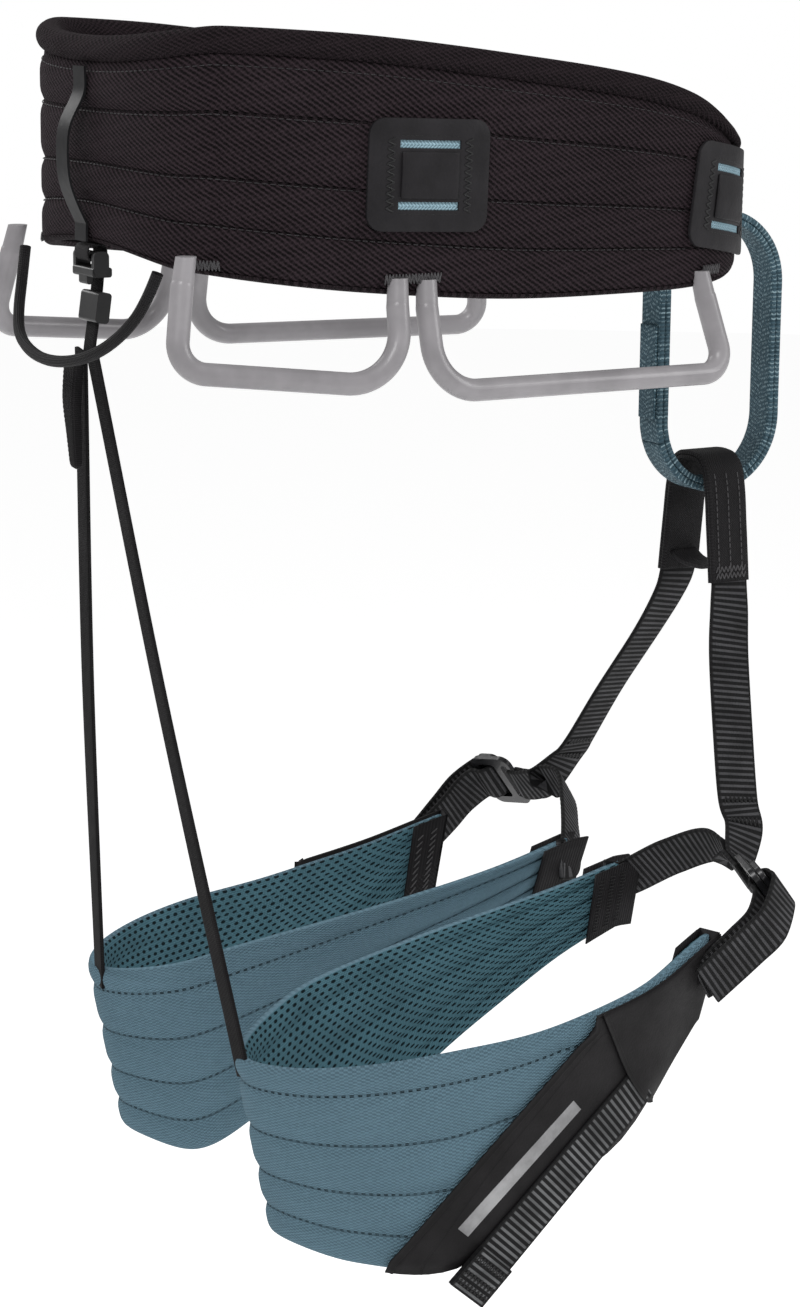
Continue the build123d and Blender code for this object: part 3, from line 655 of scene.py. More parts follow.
def ribbed_webbing(name, colour, pitch, light):
    """Strap whose weft stands in cross ribs, paler on their tops."""
    f = Finish(name, colour, 0.6, specular=0.2)
    u, v = f.pattern()
    rib = (u * (2 * math.pi / pitch) + math.pi / 2).sine()
    thread = (v * (2 * math.pi / 0.75)).sine()
    crest = rib.ease(-0.1, 0.6)
    wear_and_highlight = f.noise(70.0, 3.0).ease(0.25, 0.8)
    edge = 1 - v.size().ease(8.2, 9.2)
    # Painted highlight: the rib tops are mixed towards the paler light colour, more strongly where the noise is
    # high; the same noise also varies the strap's tone.
    base = f.mix(crest * (wear_and_highlight * 0.55 + 0.4) * edge, f.tinted(0.3, wear_and_highlight), light)
    f.link(base, "Base Color")
    f.link(0.8 - crest * 0.2, "Roughness")
    f.link(f.bump(thread * 0.5 + rib * 0.3, 0.6, 0.0004), "Normal")
    return f.material


def knitted_elastic(name, colour):
    """Flat elastic: fine lengthwise cords and small cross stitches."""
    f = Finish(name, colour, 0.8, specular=0.15)
    u, v = f.pattern()
    cords = (v * (2 * math.pi / 1.25)).sine()
    knit = (u * (2 * math.pi / 0.9) + v * 1.5).sine()
    cloudy = f.noise(50.0, 3.0)
    tone = (cords * 0.3 + knit * 0.2 + cloudy * 0.6 + 0.1).ease(0.1, 0.9)
    f.link(f.tinted(0.5, tone), "Base Color")
    f.link(0.86 - tone * 0.18, "Roughness")
    f.link(f.bump(cords * 0.6 + knit * 0.4, 0.7, 0.0004), "Normal")
    return f.material


def coated_fabric(name, colour, roughness=0.5, grain=900.0, depth=0.00025):
    """Rubber- or film-faced fabric: fine pebble grain with faint scuffs."""
    f = Finish(name, colour, roughness, specular=0.16)
    pebble = f.noise(grain, 2.0, 0.4)
    scuff = f.noise(42.0, 5.0, 0.65)
    f.link(f.tinted(0.3, scuff.ease(0.3, 0.75)), "Base Color")
    f.link(roughness + 0.16 - scuff * 0.3, "Roughness")
    soft = f.bump(f.noise(70.0, 3.0), 0.3, 0.0008)
    f.link(f.bump(pebble, 0.45, depth, soft), "Normal")
    return f.material


def moulded_plastic(name, colour, roughness=0.38, coat=0.15):
    """Moulded part: satin skin with slight haze and handling marks."""
    f = Finish(name, colour, roughness, coat=coat, specular=0.35)
    haze = f.noise(30.0, 4.0, 0.55)
    marks = f.noise(260.0, 3.0, 0.7)
    f.link(f.tinted(0.16, haze.ease(0.3, 0.7)), "Base Color")
    f.link(roughness - 0.07 + marks * 0.16, "Roughness")
    f.link(f.bump(marks, 0.12, 0.0003, f.bump(haze, 0.2, 0.0006)), "Normal")
    return f.material


def anodised(name, colour):
    """Black anodised forging with soft scratches that show a little bare metal."""
    f = Finish(name, colour, 0.26, metallic=0.3, coat=0.15, specular=0.5)
    scratch = f.noise(1.0, 3.0, 0.6, f.node("ShaderNodeMapping", None, {
        "Vector": f.space(), "Scale": (900.0, 160.0, 420.0)})).ease(0.62, 0.74)
    haze = f.noise(90.0, 3.0)
    f.link(f.mix(scratch * 0.35, f.tinted(0.3, haze), (0.22, 0.22, 0.23)), "Base Color")
    f.link(0.24 + haze * 0.2, "Roughness")
    f.link(f.bump(haze, 0.1, 0.0003), "Normal")
    return f.material


def thread_finish(name, colour):
    """Bonded sewing thread with its twist."""
    f = Finish(name, colour, 0.5, specular=0.3)
    u, v = f.pattern()
    twist = ((u * 9.0 + v * 6.0) * 2 * math.pi).sine()
    shade = f.noise(300.0, 2.0)
    f.link(f.tinted(0.35, (twist * 0.3 + shade * 0.5 + 0.2).ease(0.1, 0.9)), "Base Color")
    f.link(f.bump(twist, 0.4, 0.0001), "Normal")
    return f.material


def braided_sheath(name, colour, length_mm, girth_mm, pitch=1.9):
    """Round cord's braid, on the curve's own coordinates along and round it."""
    f = Finish(name, colour, 0.66, specular=0.2)
    uv = f.node("ShaderNodeTexCoord", output=2)
    split = f.tree.nodes.new("ShaderNodeSeparateXYZ")
    f.tree.links.new(uv.socket, split.inputs[0])
    u = Field(f, split.outputs[0]) * length_mm
    v = Field(f, split.outputs[1]) * girth_mm
    k = 2 * math.pi / pitch
    braid = ((u + v) * k).sine() * ((u - v) * k).sine()
    shade = f.noise(80.0, 3.0)
    f.link(f.tinted(0.55, (braid * 0.4 + shade * 0.5 + 0.2).ease(0.1, 0.9)), "Base Color")
    f.link(f.bump(braid, 0.7, 0.0005), "Normal")
    return f.material


def make_finishes(colours):
    black = tuple(colours.webbing)
    FINISHES.update({
        "belt": twill("belt_twill", colours.belt, 2.2, 0.85, 0.9, 0.6,
                      [f * BELT_TALL for f in BELT_SEAMS], 0.6),
        "belt_roll": twill("belt_roll_twill", [c * 0.75 for c in colours.belt], 2.1, 0.7, 0.9, 0.4),
        "belt_lining": spacer_mesh("belt_spacer_mesh", (0.013, 0.011, 0.013), 3.6, 3.0, 0.7),
        "leg": twill("leg_twill", colours.leg, 1.9, 0.3, 0.8, 0.15, [f * LEG_TALL for f in LEG_SEAMS], 0.4),
        "leg_lining": spacer_mesh("leg_perforated_lining", colours.leg_lining),
        "web": webbing_finish("black_webbing", black, 25.0),
        "sleeve": webbing_finish("sleeve_webbing", black, 21.0, pitch=1.2),
        # The last colour of each ribbed strap is its painted highlight colour.
        "rib": ribbed_webbing("ribbed_strap", (0.0065, 0.0065, 0.007), RIB_PITCH, (0.075, 0.075, 0.08)),
        "rib_tail": ribbed_webbing("ribbed_tail_strap", (0.006, 0.006, 0.0065), RIB_PITCH, (0.17, 0.175, 0.18)),
        # The third colour of the belay and load webbing is its painted glint colour.
        "belay": webbing_finish("belay_webbing", colours.belay, 16.0, (0.055, 0.11, 0.14), 0.9, 0.66, 1.5),
        "blue": webbing_finish("load_webbing", (0.22, 0.34, 0.40), 25.0, (0.40, 0.52, 0.58)),
        "elastic": knitted_elastic("knitted_elastic", (0.0075, 0.0068, 0.0075)),
        "cover": coated_fabric("cover_fabric", (0.0065, 0.0058, 0.0065), 0.6),
        "patch": coated_fabric("patch_rubber", (0.0125, 0.0115, 0.013), 0.55, 700.0, 0.0003),
        "piping": coated_fabric("edge_piping", (0.0065, 0.006, 0.0065), 0.6),
        "gear": moulded_plastic("gear_loop_plastic", colours.gear, 0.36, 0.1),
        "plastic": moulded_plastic("black_nylon", (0.009, 0.009, 0.0095), 0.42),
        "strip": coated_fabric("back_strip_film", (0.009, 0.009, 0.010), 0.45, 400.0, 0.0001),
        "metal": anodised("black_anodised", (0.009, 0.009, 0.0105)),
        "thread": thread_finish("black_thread", (0.005, 0.005, 0.0055)),
        "thread_soft": thread_finish("charcoal_thread", (0.016, 0.014, 0.016)),
        "thread_grey": thread_finish("grey_thread", (0.055, 0.053, 0.056)),
        "mark": coated_fabric("grey_print", (0.26, 0.26, 0.265), 0.6),
        "cord": braided_sheath("haul_cord_sheath", (0.0085, 0.0078, 0.0088), 176.6, 15.7),
    })


# ------------------------------------------------------------------ padded pieces
def inflate(piece, held, pressure, cap):
    """Blow a closed pad up like a cushion between its held seams, and keep the result in its mesh."""
    scene = bpy.context.scene
    group = piece.vertex_groups.new(name="seams")
    group.add(held, 1.0, "REPLACE")
    cloth = piece.modifiers.new("Cloth", "CLOTH")
    settings = cloth.settings
    settings.quality = 5
    settings.mass = 0.25
    settings.tension_stiffness = 12
    settings.compression_stiffness = 12
    settings.shear_stiffness = 6
    settings.bending_stiffness = 0.4
    settings.use_pressure = True
    settings.uniform_pressure_force = pressure
    settings.effector_weights.gravity = 0
    settings.vertex_group_mass = "seams"
    cloth.collision_settings.use_collision = False
    cloth.point_cache.frame_start = 1
    cloth.point_cache.frame_end = 20
    for step in range(1, 21):
        scene.frame_set(step)
    count = len(piece.data.vertices)
    rest = np.zeros(count * 3)
    piece.data.vertices.foreach_get("co", rest)
    grown = np.zeros(count * 3)
    piece.evaluated_get(bpy.context.evaluated_depsgraph_get()).data.vertices.foreach_get("co", grown)
    move = (grown - rest).reshape(-1, 3)
    size = np.linalg.norm(move, axis=1)
    limit = cap * MM
    scale = np.where(size > 1e-9, limit * np.tanh(size / limit) / np.maximum(size, 1e-9), 0)
    settled = rest.reshape(-1, 3) + move * scale[:, None]
    piece.modifiers.remove(cloth)
    piece.vertex_groups.remove(group)
    piece.data.vertices.foreach_set("co", settled.ravel())
    piece.data.update()
    scene.frame_set(1)


def refine(piece, levels=1):
    surface = piece.modifiers.new("Surface", "SUBSURF")
    surface.levels = levels
    surface.render_levels = levels
    return piece


def spaced(low, high, step, at=()):
    """Places from low to high about a step apart, with the given ones among them."""
    stops = sorted({low, high, *[a for a in at if low < a < high]})
    places = []
    for a, b in zip(stops, stops[1:]):
        count = max(1, round((b - a) / step))
        places += [a + (b - a) * i / count for i in range(count)]
    return places + [high]


def among(value, places):
    """Whether a flat coordinate is one of the given places."""
    return any(abs(value - place) < 1e-3 for place in places)


def quilted(columns, rows, thick, seam_rows, seam_columns, flat_zone=None, base=1.2, groove=2.1):
    """Flat pad with its seams drawn in on both faces; returns it with the vertices that sewing holds."""
    bm = slab(columns, rows, 0.0, -thick)
    mark_pattern(bm)
    low, high, first, last = rows[0], rows[-1], columns[0], columns[-1]
    crease = bm.edges.layers.float.new("crease_edge")
    held = []
    for vert in bm.verts:
        u, v = vert.co.x, vert.co.y
        upper = vert.co.z > -thick / 2
        rim = among(v, (low, high)) or among(u, (first, last))
        seam = among(v, seam_rows) or among(u, seam_columns)
        flat = flat_zone is not None and upper and flat_zone(u, v)
        depth = groove if seam else base
        if flat:
            depth = 0.25
        if rim:
            depth = thick * 0.3
        vert.co.z += -depth if upper else depth
        if rim or seam or flat:
            held.append(vert.index)
    for edge in bm.edges:
        a, b = edge.verts
        along_row = abs(a.co.y - b.co.y) < 1e-3 and among(a.co.y, seam_rows)
        along_column = abs(a.co.x - b.co.x) < 1e-3 and among(a.co.x, seam_columns)
        if along_row or along_column:
            edge[crease] = 0.75
    return bm, held


def belt_pad():
    """The waist belt's padded body: woven face outside, spacer mesh inside."""
    seams = [round(f * BELT_TALL, 3) for f in BELT_SEAMS]
    near_top = 85.5
    rows = spaced(0.0, BELT_TALL, 4.2, [*seams, near_top])
    side_seams = [belt_s(122), belt_s(58)]
    columns = spaced(BELT_LEFT, BELT_RIGHT, 4.6, side_seams)

    def sewn_flat(u, v):
        for angle, height, _ in (REAR_PATCH, FRONT_PATCH):
            for sign in (1, -1):
                bottom, roll, _ = belt_edges(sign * belt_s(angle))
                z = bottom + (roll - bottom) * v / BELT_TALL
                if abs(u - sign * belt_s(angle)) < 30 and abs(z - height) < 25:
                    return True
        return False

    bm, held = quilted(columns, rows, 10.6, [*seams, near_top], side_seams, sewn_flat, 1.0, 2.9)

    def place(u, v, w):
        bottom, roll, _ = belt_edges(u)
        return belt_at(u, bottom + (roll + 1.5 - bottom) * v / BELT_TALL, w - 0.1)

    wrap(bm, place)
    pad = finished(bm, "belt_pad", "waist_belt", "belt_fabric", [FINISHES["belt"], FINISHES["belt_lining"]],
                   ["belt_foam", "belt_shell", "belt_lining", "belt_load_web_upper", "belt_load_web_lower"])
    inflate(pad, held, 8.0, 1.6)
    refine(pad)
    return pad


def belt_roll():
    """Rolled binding along the belt's top edge, thinning out towards the front."""
    columns = spaced(BELT_LEFT, BELT_RIGHT, 5.0)
    rows = [0.0, 0.08, 0.25, 0.5, 0.75, 0.92, 1.0]
    bm = slab(columns, rows, 0.0, -1.0)
    mark_pattern(bm, 1, 12)

    def place(u, v, w):
        _, roll, top = belt_edges(u)
        tall = top - roll
        angle = math.pi * (v - 0.5)
        swell = math.cos(angle) ** 0.55 if abs(math.cos(angle)) > 1e-6 else 0.0
        half = 6.35
        out = (1 if w > -0.5 else -1) * half * (0.35 + 0.65 * swell)
        if v < 0.3:
            out *= 0.94
        ripple = 0.16 * math.sin(u * 0.42 + 1.3 * math.sin(u * 0.11)) * swell
        return belt_at(u, roll + tall * v, out - 5.6 + (ripple if w > -0.5 else -ripple))

    wrap(bm, place)
    roll = finished(bm, "belt_roll", "waist_belt", "belt_fabric", [FINISHES["belt_roll"]] * 2,
                    ["belt_top_roll"])
    refine(roll)
    return roll


def belt_seam_stitches():
    """Stitch lines in the belt's quilted seams and under its rolled edge."""
    bm = bmesh.new()
    for fraction in (*BELT_SEAMS, 0.95):
        u = BELT_LEFT + 6
        while u < BELT_RIGHT - 6:
            ends = []
            for at in (u, u + 2.3):
                bottom, roll, _ = belt_edges(at)
                ends.append(belt_at(at, bottom + (roll - bottom) * fraction, -2.1))
            normal = belt_at(u, ends[0].z, 1) - belt_at(u, ends[0].z, 0)
            hidden = any(abs(abs(u) - belt_s(a)) < 30 and abs(ends[0].z - h) < 25
                         for a, h, _ in (REAR_PATCH, FRONT_PATCH))
            if not hidden:
                sew(bm, ends[0], ends[1], normal, 0.5)
            u += 3.3
    return finished(bm, "belt_seam_stitches", "waist_belt", "thread", [FINISHES["thread_soft"]], smooth=False)


def belt_bottom_tape():
    """Thin folded tape sewn over the belt's lower edge."""
    rows = [-1.5, -0.8, 0.0, 0.8, 1.5]
    columns = spaced(BELT_LEFT + 1, BELT_RIGHT - 1, 6.0)
    bm = slab(columns, rows, 0.5, -0.5)
    mark_pattern(bm)

    def place(u, v, w):
        bottom, _, _ = belt_edges(u)
        angle = v / 1.5 * math.radians(80)
        reach = 2.9 + w * 0.5
        return belt_at(u, bottom + 2.4 - reach * math.cos(angle), -5.5 + math.sin(angle) * (reach + 0.9))

    wrap(bm, place)
    return refine(finished(bm, "belt_bottom_tape", "waist_belt", "belt_fabric", [FINISHES["belt_roll"]] * 2))


def patch_flat():
    """Ice-clipper patch cut flat: rounded rectangle with two slots."""
    half_w, half_h, slot = 28.0, 23.0, 14.0
    low, high = SLOT_PITCH / 2 - 1.6, SLOT_PITCH / 2 + 1.6
    columns = [-half_w, -20, -slot, -7, 0, 7, slot, 20, half_w]
    rows = [-half_h, -high, -low, -5, 5, low, high, half_h]
    bm = bmesh.new()
    bmesh.ops.create_grid(bm, x_segments=len(columns) - 1, y_segments=len(rows) - 1, size=0.5)
    for vert in bm.verts:
        vert.co.x = columns[round((vert.co.x + 0.5) * (len(columns) - 1))]
        vert.co.y = rows[round((vert.co.y + 0.5) * (len(rows) - 1))]
    slots = [f for f in bm.faces if low < abs(f.calc_center_median().y) < high
             and abs(f.calc_center_median().x) < slot]
    bmesh.ops.delete(bm, geom=slots, context="FACES")
    corners = [v for v in bm.verts if abs(v.co.x) == half_w and abs(v.co.y) == half_h]
    bmesh.ops.bevel(bm, geom=corners, offset=7.0, offset_type="OFFSET", segments=5, profile=0.5,
                    affect="VERTICES", material=-1, clamp_overlap=True)
    grown = bmesh.ops.extrude_face_region(bm, geom=list(bm.faces), use_keep_orig=True)
    verts = [g for g in grown["geom"] if isinstance(g, bmesh.types.BMVert)]
    bmesh.ops.translate(bm, vec=(0, 0, 1.5), verts=verts)
    bmesh.ops.recalc_face_normals(bm, faces=bm.faces)
    rims = [e for e in bm.edges if e.verts[0].co.z > 1 and e.verts[1].co.z > 1
            and len(e.link_faces) == 2 and abs(e.link_faces[0].normal.dot(e.link_faces[1].normal)) < 0.5]
    bevel(bm, rims, 0.45, 2)
    bends = [e for e in bm.edges if abs(e.verts[0].co.x - e.verts[1].co.x) > 4]
    bmesh.ops.subdivide_edges(bm, edges=bends, cuts=2, use_grid_fill=True)
    mark_pattern(bm)
    return bm


def clip_patches():
    """Rubber-faced patches with slots, their zigzag rows, and the pale webbing that shows in the slots."""
    for where, (angle, height, tilt) in (("rear", REAR_PATCH), ("front", FRONT_PATCH)):
        for side, sign in SIDES:
            turn = math.radians(tilt)
            middle = belt_s(angle)

            def place(u, v, w, middle=middle, height=height, turn=turn, sign=sign):
                along = -u * math.cos(turn) + v * math.sin(turn)
                up = u * math.sin(turn) + v * math.cos(turn)
                point = belt_at(middle - along, height + up, w + 0.25)
                return Vector((point.x * sign, point.y, point.z))

            bm = patch_flat()
            lay(bm, place)
            finished(bm, f"clip_patch_{where}_{side}_face", "waist_belt", "patch_rubber", [FINISHES["patch"]],
                     [f"clip_patch_{where}_{side}"], sharp=40)
            bridge = slab(spaced(-13.5, 13.5, 3.4), [-9.6, -9.0, -6, -2, 2, 6, 9.0, 9.6], 1.0, 0.0)
            mark_pattern(bridge)
            lay(bridge, lambda u, v, w: place(u, v, 1.45 + w * (1.0 + 0.5 * math.cos(v / 9.6 * math.pi / 2))))
            refine(finished(bridge, f"clip_patch_{where}_{side}_bridge", "waist_belt", "patch_rubber",
                            [FINISHES["patch"]] * 2))
            bm = bmesh.new()
            for x in (-18.0, 18.0):
                sew_pattern(bm, place, zigzag(x, -15, x, 15, 3.6, 1.5), 1.55, 0.85)
            for y in (-SLOT_PITCH / 2 - 3.4, -SLOT_PITCH / 2 + 3.4, SLOT_PITCH / 2 - 3.4, SLOT_PITCH / 2 + 3.4):
                sew_pattern(bm, place, running(-14, y, 14, y, 1.6, 0.5), 1.45, 0.4)
            finished(bm, f"clip_patch_{where}_{side}_stitches", "waist_belt", "thread", [FINISHES["thread"]],
                     smooth=False)
            for row, y in (("low", -SLOT_PITCH / 2), ("high", SLOT_PITCH / 2)):
                strap = band(34.0, 6.0, 0.5, 3.0, 1, 0.1)
                bmesh.ops.translate(strap, vec=(-17, 0, 0), verts=strap.verts)
                mark_pattern(strap)
                lay(strap, lambda u, v, w, y=y: place(u, v + y, w + 0.35))
                finished(strap, f"clip_patch_{where}_{side}_web_{row}", "waist_belt", "web_blue",
                         [FINISHES["blue"]])


def belt_tacks():
    """Bar tacks over the gear loops' ends: a sewn block of close zigzag stitches."""
    bm = bmesh.new()
    for angle, height, width in ((120.0, -37.5, 15.0), (154.5, -44.0, 26.0), (229.0, -47.5, 13.0)):
        for side, sign in SIDES:
            def place(u, v, w, angle=angle, height=height, sign=sign):
                point = belt_at(belt_s(angle) + u, height + v, w)
                return Vector((point.x * sign, point.y, point.z))
            half = width / 2
            sew_pattern(bm, place, zigzag(-half, 0, half, 0, 4.2, 0.75), 0.0, 0.7)
            sew_pattern(bm, place, zigzag(half, 0, -half, 0, 3.0, 1.6), 0.35, 0.6)
    return finished(bm, "belt_bar_tack_stitches", "waist_belt", "thread", [FINISHES["thread_grey"]],
                    ["belt_bar_tacks"], smooth=False)


def straight_edge(y):
    """Height of the belt's lower edge at y, by straight lines between the pattern's rows."""
    rows = BELT_RIM[::-1]
    return float(np.interp(y, [row[0] for row in rows], [row[2] for row in rows]))


def gear_loop_sockets():
    """Ends of the gear loops' tubes, moulded up into the belt's lower edge."""
    for where, ends in (("rear", ((-85, 146), (-104, 57))), ("front", ((-104, 43), (-96, -103)))):
        for side, sign in SIDES:
            bm = bmesh.new()
            for x, y in ends:
                low = straight_edge(y) - 4.75 - 0.5
                inward = Vector((x, y, 0)).normalized() * -3.0
                old = len(bm.verts)
                bmesh.ops.create_cone(bm, cap_ends=True, segments=20, radius1=4.72, radius2=4.3, depth=12.0)
                bm.verts.ensure_lookup_table()
                lean = Matrix.Shear("XY", 3, (inward.x / 12, inward.y / 12)).to_4x4()
                place = Matrix.Translation(Vector((x, y, low + 5.8)) + inward / 2)
                bmesh.ops.transform(bm, matrix=place @ lean, verts=bm.verts[old:])
            mark_pattern(bm)
            finished(bm, f"gear_socket_{where}_{side}", "waist_belt", "gear_plastic", [FINISHES["gear"]],
                     mirrored=sign < 0, sharp=40)


def haul_cord():
    """Haul loop: a short round cord whose two ends go up into the belt."""
    curve = bpy.data.curves.new("haul_cord", "CURVE")
    curve.dimensions = "3D"
    curve.bevel_depth = 2.5 * MM
    curve.bevel_resolution = 4
    curve.resolution_u = 10
    spline = curve.splines.new("NURBS")
    spline.points.add(len(HAUL_ROUTE) - 1)
    for point, (x, y, z) in zip(spline.points, HAUL_ROUTE):
        point.co = (x * MM, y * MM, z * MM, 1.0)
    spline.order_u = 3
    spline.use_endpoint_u = True
    cord = bpy.data.objects.new("haul_cord", curve)
    bpy.context.scene.collection.objects.link(cord)
    curve.materials.append(FINISHES["cord"])
    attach(cord, "waist_belt")
    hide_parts("haul_loop")
    return cord


# ------------------------------------------------------------------ straps
def strap(name, route, width, thick, body, slot, finish, replaces=(), rib=None, ring=2.0, crown=0.0, layers=1):
    """One strap laid on a route; with two layers it is sewn double."""
    whole = bmesh.new()
    ply = thick / layers
    for layer in range(layers):
        middle = (layer - (layers - 1) / 2) * ply
        bm = band(route.length, width, ply * 0.98, 0.72 if rib else ring, 3)
        if rib:
            ribbed(bm, rib[0], rib[1], width)
        mark_pattern(bm)

        def place(u, v, w, middle=middle, ply=ply):
            arch = crown * (1 - (2 * v / width) ** 2)
            return route.place(u, v, w + middle + arch)

        lay(bm, place)
        spare = bpy.data.meshes.new("ply")
        bm.to_mesh(spare)
        bm.free()
        whole.from_mesh(spare)
        bpy.data.meshes.remove(spare)
    return finished(whole, name, body, slot, [FINISHES[finish]], replaces)


def sewn(name, place, strokes, body, lift, thread=0.6, finish="thread"):
    bm = bmesh.new()
    sew_pattern(bm, place, strokes, lift, thread)
    return finished(bm, name, body, "thread", [FINISHES[finish]], smooth=False)


def buckle_axes(at, run, face):
    run = run - face * run.dot(face) / face.length_squared
    x = run.normalized()
    z = face.normalized()
    return Matrix((x, z.cross(x), z)).transposed().to_4x4(), at


def leg_buckle_local(x, y, z):
    turn, at = buckle_axes(LEG_BUCKLE_AT, LEG_BUCKLE_RUN, LEG_BUCKLE_FACE)
    return at + turn @ Vector((x, y, z))


def front_y(x, out):
    return -BELT_HALF_DEPTH * (1 - abs(x / BELT_HALF_WIDTH) ** BELT_SQUARENESS) ** (1 / BELT_SQUARENESS) - out


def waist_buckle_local(x, y, z):
    at = Vector((WAIST_BUCKLE_X, front_y(WAIST_BUCKLE_X, 3.2), WAIST_WEB_Z))
    turn, at = buckle_axes(at, Vector((-1, 0.13, 0)), Vector((0.13, -1, 0)))
    return at + turn @ Vector((x, y, z))


def hairpin(local):
    """Strap points under the buckle's rear bars, up through both windows and back over them."""
    cx, cz = HAIRPIN_CENTRE
    points = [local(-14.0, 0, cz - HAIRPIN_RADIUS)]
    for i in range(7):
        a = math.radians(-90 + 30 * i)
        points.append(local(cx + HAIRPIN_RADIUS * math.cos(a), 0, cz + HAIRPIN_RADIUS * math.sin(a)))
    points.append(local(-14.5, 0, cz + HAIRPIN_RADIUS - 0.4))
    return points


def waist_straps():
    """Front closure: the strap across the middle, the adjusting strap with its tail, and the keeper."""
    xs = [PAD_END_RIGHT_X - 10, PAD_END_RIGHT_X + 0.4, -20, 0, 18]
    outs = [-6.2, -5.5, -2.0, -1.0, 0.0]
    points = [(x, front_y(x, out), WAIST_WEB_Z) for x, out in zip(xs, outs)]
    points.append(tuple(waist_buckle_local(11.6, 0, -1.5)))
    route = Route(points, [(0, 0, 1)] * len(points))
    strap("front_closure_strap", route, WAIST_WEB, 1.8, "waist_belt", "web_black", "web", ["front_strap"])
    points = [(PAD_END_LEFT_X + 9, front_y(PAD_END_LEFT_X + 9, -7.0), WAIST_WEB_Z),
              (PAD_END_LEFT_X - 0.5, front_y(PAD_END_LEFT_X, -6.0), WAIST_WEB_Z)]
    points += [tuple(p) for p in hairpin(waist_buckle_local)]
    for angle, out in ((-61, 5.4), (-56.5, 4.0), (-52, 3.6), (-46, 3.6), (-40, 3.6), (-33, 3.6)):
        p = belt_at(belt_s(angle), WAIST_WEB_Z, out)
        points.append(tuple(p))
    route = Route(points, [(0, 0, 1)] * len(points), 6)
    strap("waist_adjusting_strap", route, WAIST_WEB, 1.8, "waist_belt", "web_black", "web",
          ["waist_adjust_strap"], ring=1.5)
    end = route.length
    sewn("waist_strap_end_stitches", route.place,
         zigzag(end - 4, -10, end - 4, 10, 3.2, 1.2) + zigzag(end - 10, -10, end - 10, 10, 3.2, 1.2),
         "waist_belt", -0.95)
    angle = belt_s(-40)
    points = [belt_at(angle, WAIST_WEB_Z + dz, out) for dz, out in
              ((-17, 0.5), (-15.4, 1.6), (-14.2, 4.4), (-12, 5.4), (0, 5.5), (12, 5.4), (14.2, 4.4),
               (15.4, 1.6), (17, 0.5))]
    tangent = belt_at(angle + 1, 0) - belt_at(angle - 1, 0)
    route = Route([tuple(p) for p in points], [tuple(tangent)] * len(points), 6)
    strap("tail_keeper_band", route, 14.0, 1.0, "waist_belt", "elastic", "elastic", ["tail_keeper"])


def tie_in_points():
    face = BELT_HALF_DEPTH + 1.9
    depth = -BELAY_Y - face
    half = [(30, -face - 0.4), (25, -face - 2.0), (20.5, -face - depth * 0.6), (16.5, BELAY_Y + 3.4),
            (10, BELAY_Y - 0.1), (3.5, BELAY_Y - 0.2)]
    z = TIE_IN_BAR_TOP - 6.5
    return [(-x, y, z) for x, y in half] + [(x, y, z) for x, y in half[::-1]]


def tie_in_yoke():
    """Sewn panel behind the closure strap that joins the tie-in loop to the belt."""
    bm = slab(spaced(-47.0, 42.0, 4.5), spaced(-51.0, -9.5, 2.6), -3.2, -5.2)
    mark_pattern(bm)

    def place(x, z, out):
        step = min(max((-33.5 - z) / 5.0, 0.0), 1.0)
        out += 3.0 * step * step * (3 - 2 * step)
        if x < -30:
            out -= 3.4 * (-30 - x) / 17
        return Vector((x, front_y(x, out), z))

    lay(bm, place)
    refine(finished(bm, "tie_in_yoke", "waist_belt", "belt_fabric", [FINISHES["belt_roll"]] * 2))
    edges = running(-44, -49.6, 40, -49.6) + running(-44, -36.5, 40, -36.5)
    sewn("tie_in_yoke_stitches", place, edges, "waist_belt", -3.15, 0.5, "thread_soft")


def waist_tie_in():
    """Doubled loop on the belt's front that the rope and the belay ring go round, with its bar tacks."""
    tie_in_yoke()
    points = tie_in_points()
    route = Route(points, [(0, 0, 1)] * len(points))
    strap("waist_tie_in_webbing", route, 13.0, 3.4, "waist_belt", "web_black", "sleeve", ["waist_tie_in_loop"],
          layers=2, ring=1.4)
    strokes = []
    for at in (2.0, 5.5):
        strokes += zigzag(at, -5.4, at, 5.4, 2.6, 1.0)
        strokes += zigzag(route.length - at, -5.4, route.length - at, 5.4, 2.6, 1.0)
    sewn("waist_tie_in_stitches", route.place, strokes, "waist_belt", -1.85)


def belay_ring():
    """Sewn belay ring: two plies of webbing in a long loop, with the stitched cover over its joint."""
    points = []
    for i in range(49):
        share = (i / 48 + 0.5 / 4) % 1.0
        points.append(stadium(share))
    route = Route(points, [(1, 0, 0)] * len(points), 4)
    strap("belay_ring_webbing", route, 16.0, 6.3, "belay_ring", "belay_web", "belay", ["belay_loop"], layers=2,
          ring=1.6)
    back = BELAY_Y + BELAY_RADIUS + 3.25
    line = [(0, back + 0.75, BELAY_Z - 8 + z) for z in (-22, -12, 0, 12, 22)]
    cover = Route(line, [(1, 0, 0)] * 5)
    strap("belay_ring_tack_cover", cover, 13.0, 1.3, "belay_ring", "belay_web", "belay", ["belay_loop_tack"])
    strokes = []
    for at in (4, 12, 22, 32, 40):
        strokes += zigzag(at, -5.4, at, 5.4, 3.2, 0.9)
    sewn("belay_ring_stitches", cover.place, strokes, "belay_ring", -0.72)


